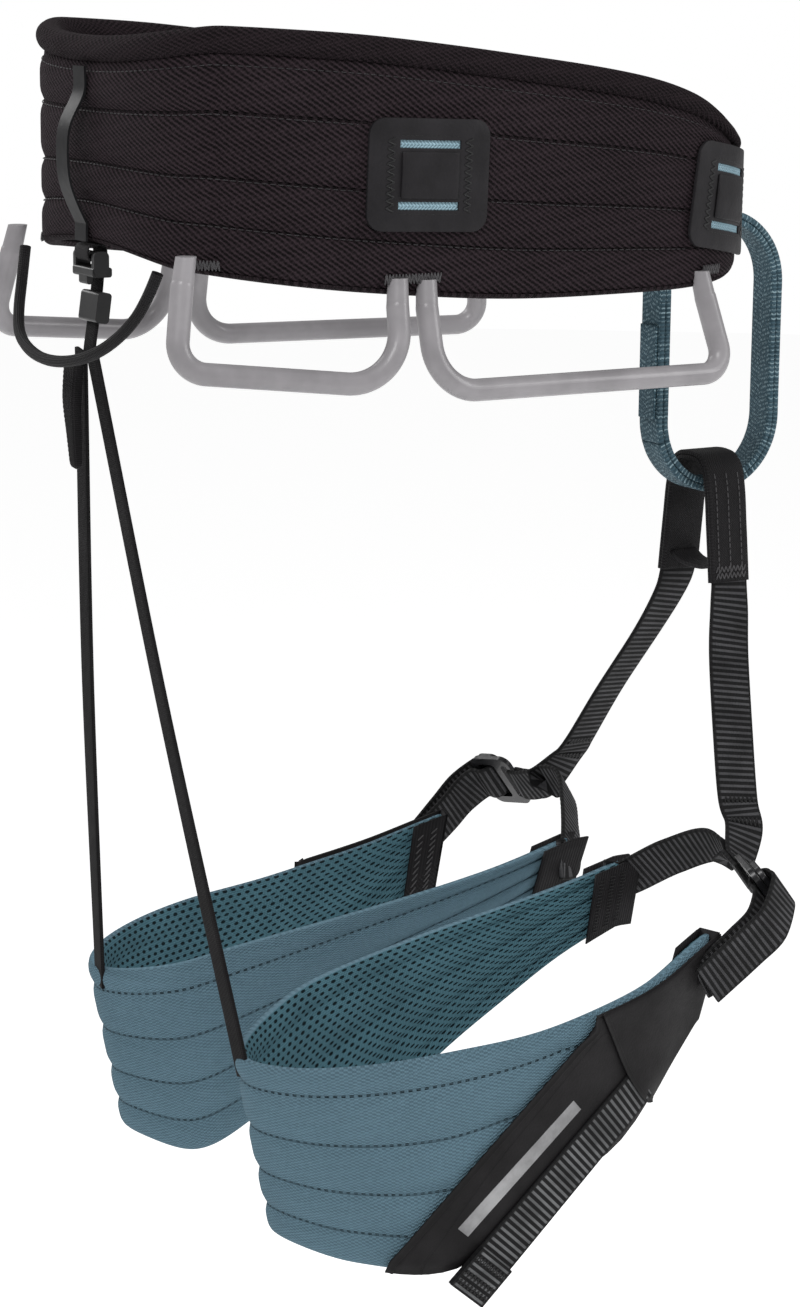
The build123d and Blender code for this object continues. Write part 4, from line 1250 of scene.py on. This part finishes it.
def stadium(share):
    """Point on the ring's middle line, by share of its length from the middle of the back strand."""
    straight = 2 * BELAY_HALF_STRAIGHT
    bend = math.pi * BELAY_RADIUS
    at = share * 2 * (straight + bend)
    if at < straight / 2:
        return (0, BELAY_Y + BELAY_RADIUS, BELAY_Z - at)
    at -= straight / 2
    if at < bend:
        a = at / BELAY_RADIUS
        return (0, BELAY_Y + BELAY_RADIUS * math.cos(a),
                BELAY_Z - BELAY_HALF_STRAIGHT - BELAY_RADIUS * math.sin(a))
    at -= bend
    if at < straight:
        return (0, BELAY_Y - BELAY_RADIUS, BELAY_Z - BELAY_HALF_STRAIGHT + at)
    at -= straight
    if at < bend:
        a = at / BELAY_RADIUS
        return (0, BELAY_Y - BELAY_RADIUS * math.cos(a),
                BELAY_Z + BELAY_HALF_STRAIGHT + BELAY_RADIUS * math.sin(a))
    at -= bend
    return (0, BELAY_Y + BELAY_RADIUS, BELAY_Z + BELAY_HALF_STRAIGHT - at)


def leg_tie_in():
    """Arch of doubled webbing over the belay ring's foot, its three stitch columns, and the cross strap."""
    half = [(21.0, -205.0), (19.4, -191), (17.7, -177), (16.0, -163), (13.2, -152.5), (8.2, -147.5),
            (2.8, -146.4)]
    points = [(-x, -175.0, z) for x, z in half] + [(x, -175.0, z) for x, z in half[::-1]]
    route = Route(points, [(0, 1, 0)] * len(points))
    strap("leg_tie_in_webbing", route, 21.5, 4.3, "leg_loops", "web_black", "sleeve", ["leg_tie_in_sleeve"],
          layers=2, ring=1.4)
    strokes = []
    for v in (-6.6, 0, 6.6):
        for start, end in ((4, 52), (route.length - 52, route.length - 4)):
            strokes += running(start, v, end, v, 2.2, 0.7)
    for at in (3.0, 6.2):
        strokes += zigzag(at, -8.5, at, 8.5, 2.8, 1.1)
        strokes += zigzag(route.length - at, -8.5, route.length - at, 8.5, 2.8, 1.1)
    sewn("leg_tie_in_stitches", route.place, strokes, "leg_loops", 2.25, 0.65, "thread_grey")
    end = 16.8
    points = [(-end, -175.0, -196), (-8, -175.0, -199.5), (8, -175.0, -199.5), (end, -175.0, -196)]
    route = Route(points, [(0, 1, 0)] * 4)
    strap("leg_cross_webbing", route, 15.0, 2.4, "leg_loops", "web_black", "sleeve", ["leg_cross_strap"])


def leg_front_straps():
    """Ribbed straps from the tie-in to the leg loops, and the bands that close the loops in front."""
    lead = tuple(leg_buckle_local(19, 0, -1.9))
    anchor = tuple(leg_buckle_local(11.4, 0, -1.5))
    turn, _ = buckle_axes(LEG_BUCKLE_AT, LEG_BUCKLE_RUN, LEG_BUCKLE_FACE)
    slant = tuple(turn @ Vector((0, 1, 0)))
    down = [(-20.9, -175, -199), (-21.6, -175, -207), (-25, -173, -218), (-34, -167, -238), (-52, -157.5, -270),
            (-67, -150.5, -298), (-75.5, -148.3, -309), tuple(leg_buckle_local(27, 0, 0.8)),
            tuple(leg_buckle_local(15, 0, 0.6))]
    across_down = [(0, 1, 0), (0, 1, 0), (0.1, 1, 0), (0.2, 1, 0), (0.25, 1, 0.05), (0.25, 0.95, 0.15),
                   (0.2, 0.85, 0.3), slant, slant]
    band_points = [(-18.5, -108, -343.5), (-23.5, -117.5, -343.5), (-44, -130, -329), (-66, -139.5, -319.5),
                   lead, anchor]
    band_across = [(0.1, -0.2, -0.95), (0.1, -0.4, -0.85), (0.1, -0.4, -0.85), (0, -0.5, -0.8), slant, slant]
    for side, sign in SIDES:
        mirrored = sign < 0
        route = Route(down, across_down, 10, mirrored)
        strap(f"leg_strap_webbing_{side}", route, LEG_WEB, 2.0, "leg_loops", "web_ribbed", "rib",
              [f"leg_strap_{side}"], rib=(RIB_PITCH, 0.28))
        foot = route.length - 34
        strokes = []
        for at in (foot, foot - 11):
            strokes += zigzag(at, -7.6, at, 7.6, 3.4, 1.1)
        for lift in (-1.25, 1.25):
            face = "outer" if lift < 0 else "inner"
            sewn(f"leg_strap_{face}_stitches_{side}", route.place, strokes, "leg_loops", lift, 0.7)
        route = Route(band_points, band_across, 10, mirrored)
        strap(f"leg_front_webbing_{side}", route, LEG_WEB, 2.0, "leg_loops", "web_black", "rib",
              [f"leg_front_band_{side}"], rib=(RIB_PITCH, 0.22))


def leg_adjusters():
    """Strap from the cover round the buckle and back, on each side."""
    points = [(-124.6, -90, -361), (-126.2, -96, -357.5), (-127.4, -110, -347), (-128.2, -119.5, -339)]
    points += [tuple(p) for p in hairpin(leg_buckle_local)]
    points += [(-135.0, -122.0, -336.5), (-133.6, -110.0, -346.5), (-131.2, -97, -357.0), (-130.6, -90, -362)]
    low = (-0.1, -0.55, -0.83)
    turn, _ = buckle_axes(LEG_BUCKLE_AT, LEG_BUCKLE_RUN, LEG_BUCKLE_FACE)
    slant = tuple(turn @ Vector((0, 1, 0)))
    flip = tuple(-c for c in slant)
    match = slant if Vector(slant).dot(Vector(low)) > 0 else flip
    across = [low] * 4 + [match] * 9 + [low] * 4
    for side, sign in SIDES:
        route = Route(points, across, 6, sign < 0)
        strap(f"leg_adjusting_webbing_{side}", route, LEG_WEB, 2.0, "leg_loops", "web_black", "rib",
              [f"leg_adjust_strap_{side}"], rib=(RIB_PITCH, 0.16))


# ------------------------------------------------------------------ leg loops
def leg_pads():
    """The two padded leg loops: woven face outside, perforated lining inside."""
    seams = [round(f * LEG_TALL, 3) for f in LEG_SEAMS]
    rows = spaced(0.0, LEG_TALL, 4.4, seams)
    columns = spaced(0.0, LEG_LENGTH, 4.4)

    def under_cover(u, v):
        y = float(np.interp(u, LEG_ALONG, LEG_LINE[:, 1]))
        bottom, top = leg_edges(u)
        z = bottom + (top - bottom) * v / LEG_TALL
        return u > LEG_BACK and y < cover_edge_y(z) + 2

    for side, sign in SIDES:
        bm, held = quilted(columns, rows, 9.3, seams, [], under_cover, 0.9, 2.7)

        def place(u, v, w):
            bottom, top = leg_edges(u)
            return leg_at(u, bottom + (top - bottom) * v / LEG_TALL, w - 0.1)

        wrap(bm, place)
        if sign < 0:
            mirror_x(bm)
        pad = finished(bm, f"leg_pad_{side}", "leg_loops", "leg_fabric",
                       [FINISHES["leg"], FINISHES["leg_lining"]],
                       [f"leg_foam_{side}", f"leg_shell_{side}", f"leg_lining_{side}"])
        inflate(pad, held, 8.0, 1.5)
        refine(pad)


def cover_edge_y(z):
    """Rear edge of the smooth cover, in side view."""
    if z > -372:
        return -26.0
    return -24.0 + (-372.0 - z) * 100.0 / 98.0


def cover_place(a, b, w):
    """Point on the cover: a from its rear edge (0) to the front (1), b from the bottom (0) to the top (1)."""
    y_rear = -26.0
    for _ in range(12):
        u = leg_u_outside(y_rear)
        bottom, top = leg_edges(u)
        z = bottom + (top - bottom) * b
        y_rear = 0.5 * y_rear + 0.5 * min(cover_edge_y(z), 76.0)
    u_rear = leg_u_outside(y_rear)
    u = u_rear + (LEG_LENGTH + 1.0 - u_rear) * a
    bottom, top = leg_edges(min(u, LEG_LENGTH))
    return leg_at(u, bottom + (top - bottom) * b, w)


def edge_route(place, a, w, steps, mirrored):
    """Route up a placed panel at the share a of its length, lying w above it."""
    line = [place(a, i / 20, w) for i in range(21)]
    outward = [place(a, i / 20, w + 1) - line[i] for i in range(21)]
    ahead = [line[min(i + 1, 20)] - line[max(i - 1, 0)] for i in range(21)]
    return Route([tuple(p) for p in line], [tuple(t.cross(n)) for t, n in zip(ahead, outward)], steps, mirrored)


def leg_covers():
    """Smooth cover over the outer front of each pad, with its edge piping and seam."""
    for side, sign in SIDES:
        columns = [i / 22 for i in range(23)]
        rows = [i / 18 for i in range(19)]
        bm = slab(columns, rows, 1.3, 0.0)
        mark_pattern(bm, 90, 90)
        lay(bm, lambda a, b, w: cover_place(a, b, w + 0.25))
        finished(bm, f"leg_cover_face_{side}", "leg_loops", "cover_fabric", [FINISHES["cover"]],
                 [f"leg_cover_{side}"], mirrored=sign < 0)
        for name, a, width, thick in (("edge", 0.012, 3.4, 0.9), ("seam", 0.11, 1.2, 0.5)):
            route = edge_route(cover_place, a, 1.45, 4, sign < 0)
            strap(f"leg_cover_{name}_{side}", route, width, thick, "leg_loops", "cover_fabric", "piping",
                  crown=0.3)


def gusset_place(a, b, w):
    """Point on the cover's front part: a from its seam (0) to the tip (1), b from bottom (0) to top (1)."""
    y = -28.0 - 44.0 * (1 - b)
    u_seam = leg_u_outside(y)
    u = u_seam + (LEG_LENGTH + 1.5 - u_seam) * a
    bottom, top = leg_edges(min(u, LEG_LENGTH))
    over_tail = 2.4 * math.exp(-((b - 0.27) / 0.22) ** 2) * math.exp(-(a / 0.35) ** 2)
    return leg_at(u, bottom - 0.3 + (top - bottom + 0.5) * b, w + over_tail)


def cover_trim():
    """Front part of the cover over the strap's end, with its folded edge, and a plain grey bar."""
    for side, sign in SIDES:
        bm = slab([i / 14 for i in range(15)], [i / 20 for i in range(21)], 2.5, 1.5)
        mark_pattern(bm, 70, 70)
        lay(bm, gusset_place)
        refine(finished(bm, f"leg_cover_front_{side}", "leg_loops", "cover_fabric", [FINISHES["cover"]] * 2,
                        mirrored=sign < 0))
        route = edge_route(gusset_place, 0.012, 2.6, 3, sign < 0)
        strap(f"leg_cover_fold_{side}", route, 2.6, 0.8, "leg_loops", "cover_fabric", "piping", crown=0.3)
        tail = tail_route(1)
        side_up = 21.5 if tail.place(40, 21, 0).z > tail.place(40, 0, 0).z else -21.5
        points, across = [], []
        for i in range(13):
            at = tail.place(30 + 6 * i, side_up, 0)
            ahead = tail.place(32 + 6 * i, side_up, 0) - tail.place(28 + 6 * i, side_up, 0)
            u = leg_u_outside(at.y + (at.y - leg_at(leg_u_outside(at.y), at.z).y))
            points.append(tuple(leg_at(u, at.z, 1.75)))
            across.append(tuple(ahead.cross(leg_at(u, at.z, 2.75) - leg_at(u, at.z, 1.75))))
        route = Route(points, across, 3, sign < 0)
        strap(f"leg_cover_bar_{side}", route, 6.5, 0.3, "leg_loops", "cover_fabric", "mark")


def tail_route(sign):
    """Line of the strap's free end over the pad; a negative sign mirrors it."""
    points, across = [], []
    for i in range(9):
        f = -0.13 + i * 1.13 / 8
        y = -50 + 83 * f
        z = -411 - 75 * f
        u = leg_u_outside(y)
        points.append(tuple(leg_at(u, z, 2.9)))
        normal = leg_at(u, z, 3.9) - leg_at(u, z, 2.9)
        ahead = leg_at(leg_u_outside(y + 8.3), z - 7.5, 2.9) - leg_at(u, z, 2.9)
        across.append(tuple(ahead.cross(normal)))
    return Route(points, across, 6, sign < 0)


def leg_tails():
    """Free end of each leg strap with its doubled, bar-tacked tip."""
    for side, sign in SIDES:
        route = tail_route(sign)
        strap(f"leg_tail_webbing_{side}", route, LEG_WEB, 1.8, "leg_loops", "web_black", "rib_tail",
              [f"leg_strap_tail_{side}"], rib=(RIB_PITCH, 0.25))
        end = route.length
        double = bmesh.new()
        bmesh.ops.create_cube(double, size=1.0)
        bmesh.ops.scale(double, vec=(21, 20.4, 1.7), verts=double.verts)
        bevel(double, list(double.edges), 0.5, 2)
        long_edges = [e for e in double.edges if abs(e.verts[0].co.x - e.verts[1].co.x) > 10]
        bmesh.ops.subdivide_edges(double, edges=long_edges, cuts=28, use_grid_fill=True)
        ribbed(double, RIB_PITCH, 0.22, 20.4)
        mark_pattern(double)
        lift = 1.75 * (1 if route_faces_out(route, sign) else -1)
        lay(double, lambda u, v, w: route.place(end - 10.5 + u, v, w + lift))
        finished(double, f"leg_tail_tip_{side}", "leg_loops", "web_black", [FINISHES["rib_tail"]])
        strokes = []
        for at in (end - 4, end - 8.5, end - 16.5):
            strokes += zigzag(at, -8.6, at, 8.6, 3.2, 1.1)
        sewn(f"leg_tail_stitches_{side}", route.place, strokes, "leg_loops", lift * 1.5)


def route_faces_out(route, sign):
    """Whether the route's face direction points away from the thigh."""
    middle = route.length / 2
    out = route.place(middle, 0, 1) - route.place(middle, 0, 0)
    return out.x * sign < 0


def lining_stitches(name, place, columns, rows, half, rise, finish, mirrored):
    """Columns of short slanted stitches on the lining side of a pad's end."""
    bm = bmesh.new()
    for u in columns:
        for v in rows:
            a, b = place(u - half, v, LINING_THREAD), place(u + half, v + rise, LINING_THREAD)
            sew(bm, a, b, a - place(u, v, 0), 0.6)
    finished(bm, name, "leg_loops", "thread", [FINISHES[finish]], smooth=False, mirrored=mirrored)


def inner_tabs():
    """Webbing cap over each pad's inner front end, with its bar tacks."""
    for side, sign in SIDES:
        columns = spaced(-8.0, 15.0, 3.0)
        rows = [i / 6 for i in range(7)]
        bm = slab(columns, rows, 1.5, 0.0)
        mark_pattern(bm, 1, 30)

        def place(u, v, w):
            bottom, top = leg_edges(max(u, 0))
            return leg_at(u, bottom - 0.5 + (top - bottom + 1) * v, w)

        lay(bm, place)
        finished(bm, f"inner_tab_outer_face_{side}", "leg_loops", "cover_fabric", [FINISHES["sleeve"]] * 2,
                 [f"leg_inner_tab_{side}"], mirrored=sign < 0)
        bm = slab(columns, rows, -9.6, -10.6)
        mark_pattern(bm)
        lay(bm, place)
        finished(bm, f"inner_tab_inner_face_{side}", "leg_loops", "cover_fabric", [FINISHES["sleeve"]] * 2,
                 mirrored=sign < 0)
        lining_stitches(f"inner_tab_stitches_{side}", place, (1.0, 6.0, 11.5),
                        [0.1 + k * 0.05 for k in range(16)], 1.3, 0.025, "thread", sign < 0)


def outer_end_binding():
    """Webbing folded over each pad's outer front end: a flap on the lining side and the end itself."""
    for side, sign in SIDES:
        def place(u, v, w):
            bottom, top = leg_edges(min(u, LEG_LENGTH))
            return leg_at(u, bottom - 0.4 + (top - bottom + 0.8) * v, w)

        rows = [i / 8 for i in range(9)]
        for name, columns, top, bottom in (
                ("flap", spaced(LEG_LENGTH - 14.0, LEG_LENGTH + 1.4, 2.6), -9.6, -10.6),
                ("end", [LEG_LENGTH + 0.2, LEG_LENGTH + 0.8, LEG_LENGTH + 1.4], 0.4, -10.6)):
            bm = slab(columns, rows, top, bottom)
            mark_pattern(bm, 1, 22)
            lay(bm, place)
            finished(bm, f"outer_end_{name}_{side}", "leg_loops", "web_black", [FINISHES["sleeve"]] * 2,
                     mirrored=sign < 0)
        lining_stitches(f"outer_end_stitches_{side}", place, (LEG_LENGTH - 10, LEG_LENGTH - 4),
                        [0.12 + k * 0.066 for k in range(12)], 1.2, 0.03, "thread_grey", sign < 0)


# ------------------------------------------------------------------ risers
def riser_set():
    """Elastic risers behind the legs: top strap, two long straps and the folded spare end."""
    hook_y = 146.5
    points = [(0, hook_y - 3.1, -48.4), (0, hook_y - 1.8, -60), (0, hook_y + 1.0, -78), (0, hook_y + 1.5, -84)]
    route = Route(points, [(1, 0, 0)] * 4)
    strap("riser_top_elastic", route, 10.0, 1.6, "risers", "elastic", "elastic", ["riser_top_strap"])
    top = Vector((-5.6, 149.0, -80.0))
    tip = Vector((-70.0, 114.0, -374.0))
    middle = (top + tip) * 0.5 + Vector((0, 1.5, 0))
    for side, sign in SIDES:
        inside = tip + (tip - middle).normalized() * 12
        route = Route([tuple(top), tuple(middle), tuple(tip), tuple(inside)],
                      [(1, 0, 0), (1, 0, 0), (1, 0.1, 0), (1, 0.1, 0)], 20, sign < 0)
        strap(f"riser_elastic_{side}", route, 10.0, 2.0, "risers", "elastic", "elastic",
              [f"riser_strap_{side}"], ring=2.5)
    rows = [(0, 154.9, -84), (0, 156.0, -100), (0, 155.2, -115), (0, 154.4, -130)]
    widths = [(13.4, 4.8), (12.0, 5.2), (8.6, 4.8), (6.4, 3.8)]
    route = Route(rows, [(1, 0, 0)] * 4)
    bm = band(route.length, 1.0, 1.0, 1.0, 3, 0.22)
    mark_pattern(bm, 1, 10)
    total = route.length

    def place(u, v, w):
        f = u / total * 3
        i = min(int(f), 2)
        t = f - i
        wide = widths[i][0] * (1 - t) + widths[i + 1][0] * t
        deep = widths[i][1] * (1 - t) + widths[i + 1][1] * t
        round_end = math.sqrt(max(0.0, 1 - max(0.0, (u - total + 3.0) / 3.0) ** 2)) * 0.85 + 0.15
        fold = 1 + 0.05 * math.sin(u * 2 * math.pi / 2.1)
        return route.place(u, v * wide * round_end, w * deep * fold * round_end)

    lay(bm, place)
    finished(bm, "riser_folded_end", "risers", "elastic", [FINISHES["elastic"]], ["riser_tail"])


def riser_anchor():
    """Loop of webbing under the belt's back edge that takes the riser hook."""
    points = []
    for i in range(25):
        a = 2 * math.pi * i / 24 + math.pi / 2
        c, s = math.cos(a), math.sin(a)
        y = 4.3 * abs(c) ** 0.6 * (1 if c >= 0 else -1)
        z = 3.3 * abs(s) ** 0.6 * (1 if s >= 0 else -1)
        points.append((0, 146.5 + y, -37.8 + z))
    route = Route(points, [(1, 0, 0)] * 25, 3)
    strap("riser_anchor_webbing", route, 13.0, 0.95, "waist_belt", "web_black", "sleeve", ["riser_anchor"],
          ring=0.9)


# ------------------------------------------------------------------ carried-over moulded and metal parts
def dress_frame():
    """Give the frame's moulded and metal parts their finishes."""
    finishes = {"riser_hook": "plastic", "riser_slider": "plastic", "back_strip": "strip",
                "waist_buckle_frame": "metal", "waist_buckle_plate": "metal"}
    for side, _ in SIDES:
        finishes.update({f"gear_loop_{where}_{side}": "gear" for where in ("rear", "front")})
        finishes.update({f"leg_buckle_{part}_{side}": "metal" for part in ("frame", "plate")})
    for node, finish in finishes.items():
        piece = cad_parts[node]
        piece.data.materials.clear()
        piece.data.materials.append(FINISHES[finish])


# ------------------------------------------------------------------ studio
def studio(settings):
    """Pale floor, soft lights and the camera."""
    scene = bpy.context.scene
    bm = bmesh.new()
    bmesh.ops.create_circle(bm, cap_ends=True, segments=96, radius=9.0)
    mesh = bpy.data.meshes.new("studio_floor")
    bm.to_mesh(mesh)
    bm.free()
    floor = bpy.data.objects.new("studio_floor", mesh)
    floor.location = (0, 0, CAD_BOX[0].z - 0.62)
    scene.collection.objects.link(floor)
    paper = Finish("studio_paper", (0.97, 0.97, 0.97), 0.9, specular=0.0)
    paper.shader.inputs["Emission Color"].default_value = (1, 1, 1, 1)
    paper.shader.inputs["Emission Strength"].default_value = 0.56
    mesh.materials.append(paper.material)
    world = bpy.data.worlds.new("studio_light")
    world.use_nodes = True
    tree = world.node_tree
    soft = tree.nodes["Background"]
    soft.inputs[0].default_value = (1, 1, 1, 1)
    soft.inputs[1].default_value = settings.ambient
    paper_white = tree.nodes.new("ShaderNodeBackground")
    paper_white.inputs[0].default_value = (1, 1, 1, 1)
    seen = tree.nodes.new("ShaderNodeLightPath")
    both = tree.nodes.new("ShaderNodeMixShader")
    tree.links.new(seen.outputs["Is Camera Ray"], both.inputs[0])
    tree.links.new(soft.outputs[0], both.inputs[1])
    tree.links.new(paper_white.outputs[0], both.inputs[2])
    tree.links.new(both.outputs[0], tree.nodes["World Output"].inputs[0])
    scene.world = world
    for name, at, size, power in (("key", (-1.2, 1.15, 1.45), 0.9, 30.0),
                                  ("front", (-1.1, -1.5, 0.7), 0.8, 14.0), ("far", (1.4, 0.6, 0.9), 1.0, 12.0)):
        lamp = bpy.data.lights.new(f"{name}_light", "AREA")
        lamp.size = size
        lamp.energy = power * settings.light
        holder = bpy.data.objects.new(f"{name}_light", lamp)
        holder.location = at
        holder.rotation_euler = (Vector((0, 0, -0.2)) - Vector(at)).to_track_quat("-Z", "Y").to_euler()
        scene.collection.objects.link(holder)
    lens = bpy.data.cameras.new("harness_camera")
    lens.lens = settings.lens
    lens.sensor_width = 36.0
    lens.shift_x = 0.004
    lens.clip_end = 50
    camera = bpy.data.objects.new("harness_camera", lens)
    camera.location = (-1.2509, 0.7249, 0.0892)
    aim = (Vector((-0.0062, 0, -0.2252)) - camera.location).to_track_quat("-Z", "Y").to_matrix()
    camera.rotation_euler = (aim @ Matrix.Rotation(math.radians(0.5), 3, "Z")).to_euler()
    scene.collection.objects.link(camera)
    scene.camera = camera
    scene.view_settings.view_transform = "Standard"


# ------------------------------------------------------------------ add-on
def colour(name, about, default):
    return bpy.props.FloatVectorProperty(name=name, description=about, subtype="COLOR", size=3, min=0, max=1,
                                         default=default)


class HarnessColours(bpy.types.PropertyGroup):
    """Colours a maker would change."""
    belt: colour("Belt", "Face fabric of the waist belt", (0.0175, 0.0120, 0.0145))
    leg: colour("Leg loops", "Face fabric of the leg loops", (0.106, 0.180, 0.226))
    leg_lining: colour("Leg lining", "Perforated lining of the leg loops", (0.060, 0.135, 0.168))
    belay: colour("Belay ring", "Webbing of the belay ring", (0.034, 0.070, 0.092))
    gear: colour("Gear loops", "Moulded gear loops", (0.235, 0.225, 0.235))
    webbing: colour("Webbing", "Black straps", (0.0075, 0.0068, 0.0078))


class HarnessStage(bpy.types.PropertyGroup):
    """Light and camera."""
    lens: bpy.props.FloatProperty(name="Lens", description="Focal length", default=89.24, unit="CAMERA")
    light: bpy.props.FloatProperty(name="Lights", description="Strength of the soft lights", default=1.0, min=0)
    ambient: bpy.props.FloatProperty(name="Ambient", description="Strength of the white surround",
                                     default=0.42, min=0)


class HARNESS_OT_studio(bpy.types.Operator):
    """Set the floor, lights and camera"""
    bl_idname = "harness.studio"
    bl_label = "Studio"

    def execute(self, context):
        studio(context.scene.harness_stage)
        return {"FINISHED"}


class HARNESS_OT_finishes(bpy.types.Operator):
    """Make the fabric, webbing, plastic and metal finishes"""
    bl_idname = "harness.finishes"
    bl_label = "Finishes"

    def execute(self, context):
        make_finishes(context.scene.harness_colours)
        return {"FINISHED"}


def piece_operator(name, label, about, *builders):
    """An operator class that builds one group of pieces."""
    def execute(self, context):
        for builder in builders:
            builder()
        return {"FINISHED"}
    return type(f"HARNESS_OT_{name}", (bpy.types.Operator,),
                {"bl_idname": f"harness.{name}", "bl_label": label, "__doc__": about, "execute": execute})


PIECES = [
    ("haul_loop", "Haul loop", "Hang the haul cord behind the belt", (haul_cord,)),
    ("belt_body", "Belt", "Make the belt's pad, roll, edge tape and seams",
     (belt_pad, belt_roll, belt_bottom_tape, belt_seam_stitches)),
    ("belt_patches", "Clipper patches", "Make the slotted patches, bar tacks and gear loop sockets",
     (clip_patches, belt_tacks, gear_loop_sockets)),
    ("closure", "Waist closure", "Make the waist straps and the tie-in loop", (waist_straps, waist_tie_in)),
    ("belay_ring", "Belay ring", "Make the sewn belay ring", (belay_ring,)),
    ("leg_tie_in", "Leg tie-in", "Make the leg tie-in and the straps in front", (leg_tie_in, leg_front_straps,
                                                                              leg_adjusters)),
    ("leg_loops", "Leg loops", "Make the padded leg loops, covers, tails and tabs",
     (leg_pads, leg_covers, cover_trim, leg_tails, inner_tabs, outer_end_binding)),
    ("risers", "Risers", "Make the elastic risers and their anchor", (riser_set, riser_anchor)),
    ("moulded_and_metal", "Moulded and metal parts", "Finish the frame's moulded and metal parts",
     (dress_frame,)),
]
PIECE_OPERATORS = [piece_operator(name, label, about, *builders) for name, label, about, builders in PIECES]


class HARNESS_PT_panel(bpy.types.Panel):
    """Lists the harness's groups of pieces"""
    bl_label = "Climbing harness"
    bl_idname = "HARNESS_PT_panel"
    bl_space_type = "VIEW_3D"
    bl_region_type = "UI"
    bl_category = "Harness"

    def draw(self, context):
        column = self.layout.column()
        for item in ("studio", "finishes", *[row[0] for row in PIECES]):
            column.operator(f"harness.{item}")


CLASSES = [HarnessColours, HarnessStage, HARNESS_OT_studio, HARNESS_OT_finishes, *PIECE_OPERATORS,
           HARNESS_PT_panel]


def register():
    for item in CLASSES:
        bpy.utils.register_class(item)
    bpy.types.Scene.harness_colours = bpy.props.PointerProperty(type=HarnessColours)
    bpy.types.Scene.harness_stage = bpy.props.PointerProperty(type=HarnessStage)


def unregister():
    del bpy.types.Scene.harness_stage
    del bpy.types.Scene.harness_colours
    for item in reversed(CLASSES):
        bpy.utils.unregister_class(item)


def main():
    register()
    bpy.ops.harness.studio()
    bpy.ops.harness.finishes()
    for name, *_ in PIECES:
        getattr(bpy.ops.harness, name)()


if __name__ == "__main__":
    main()
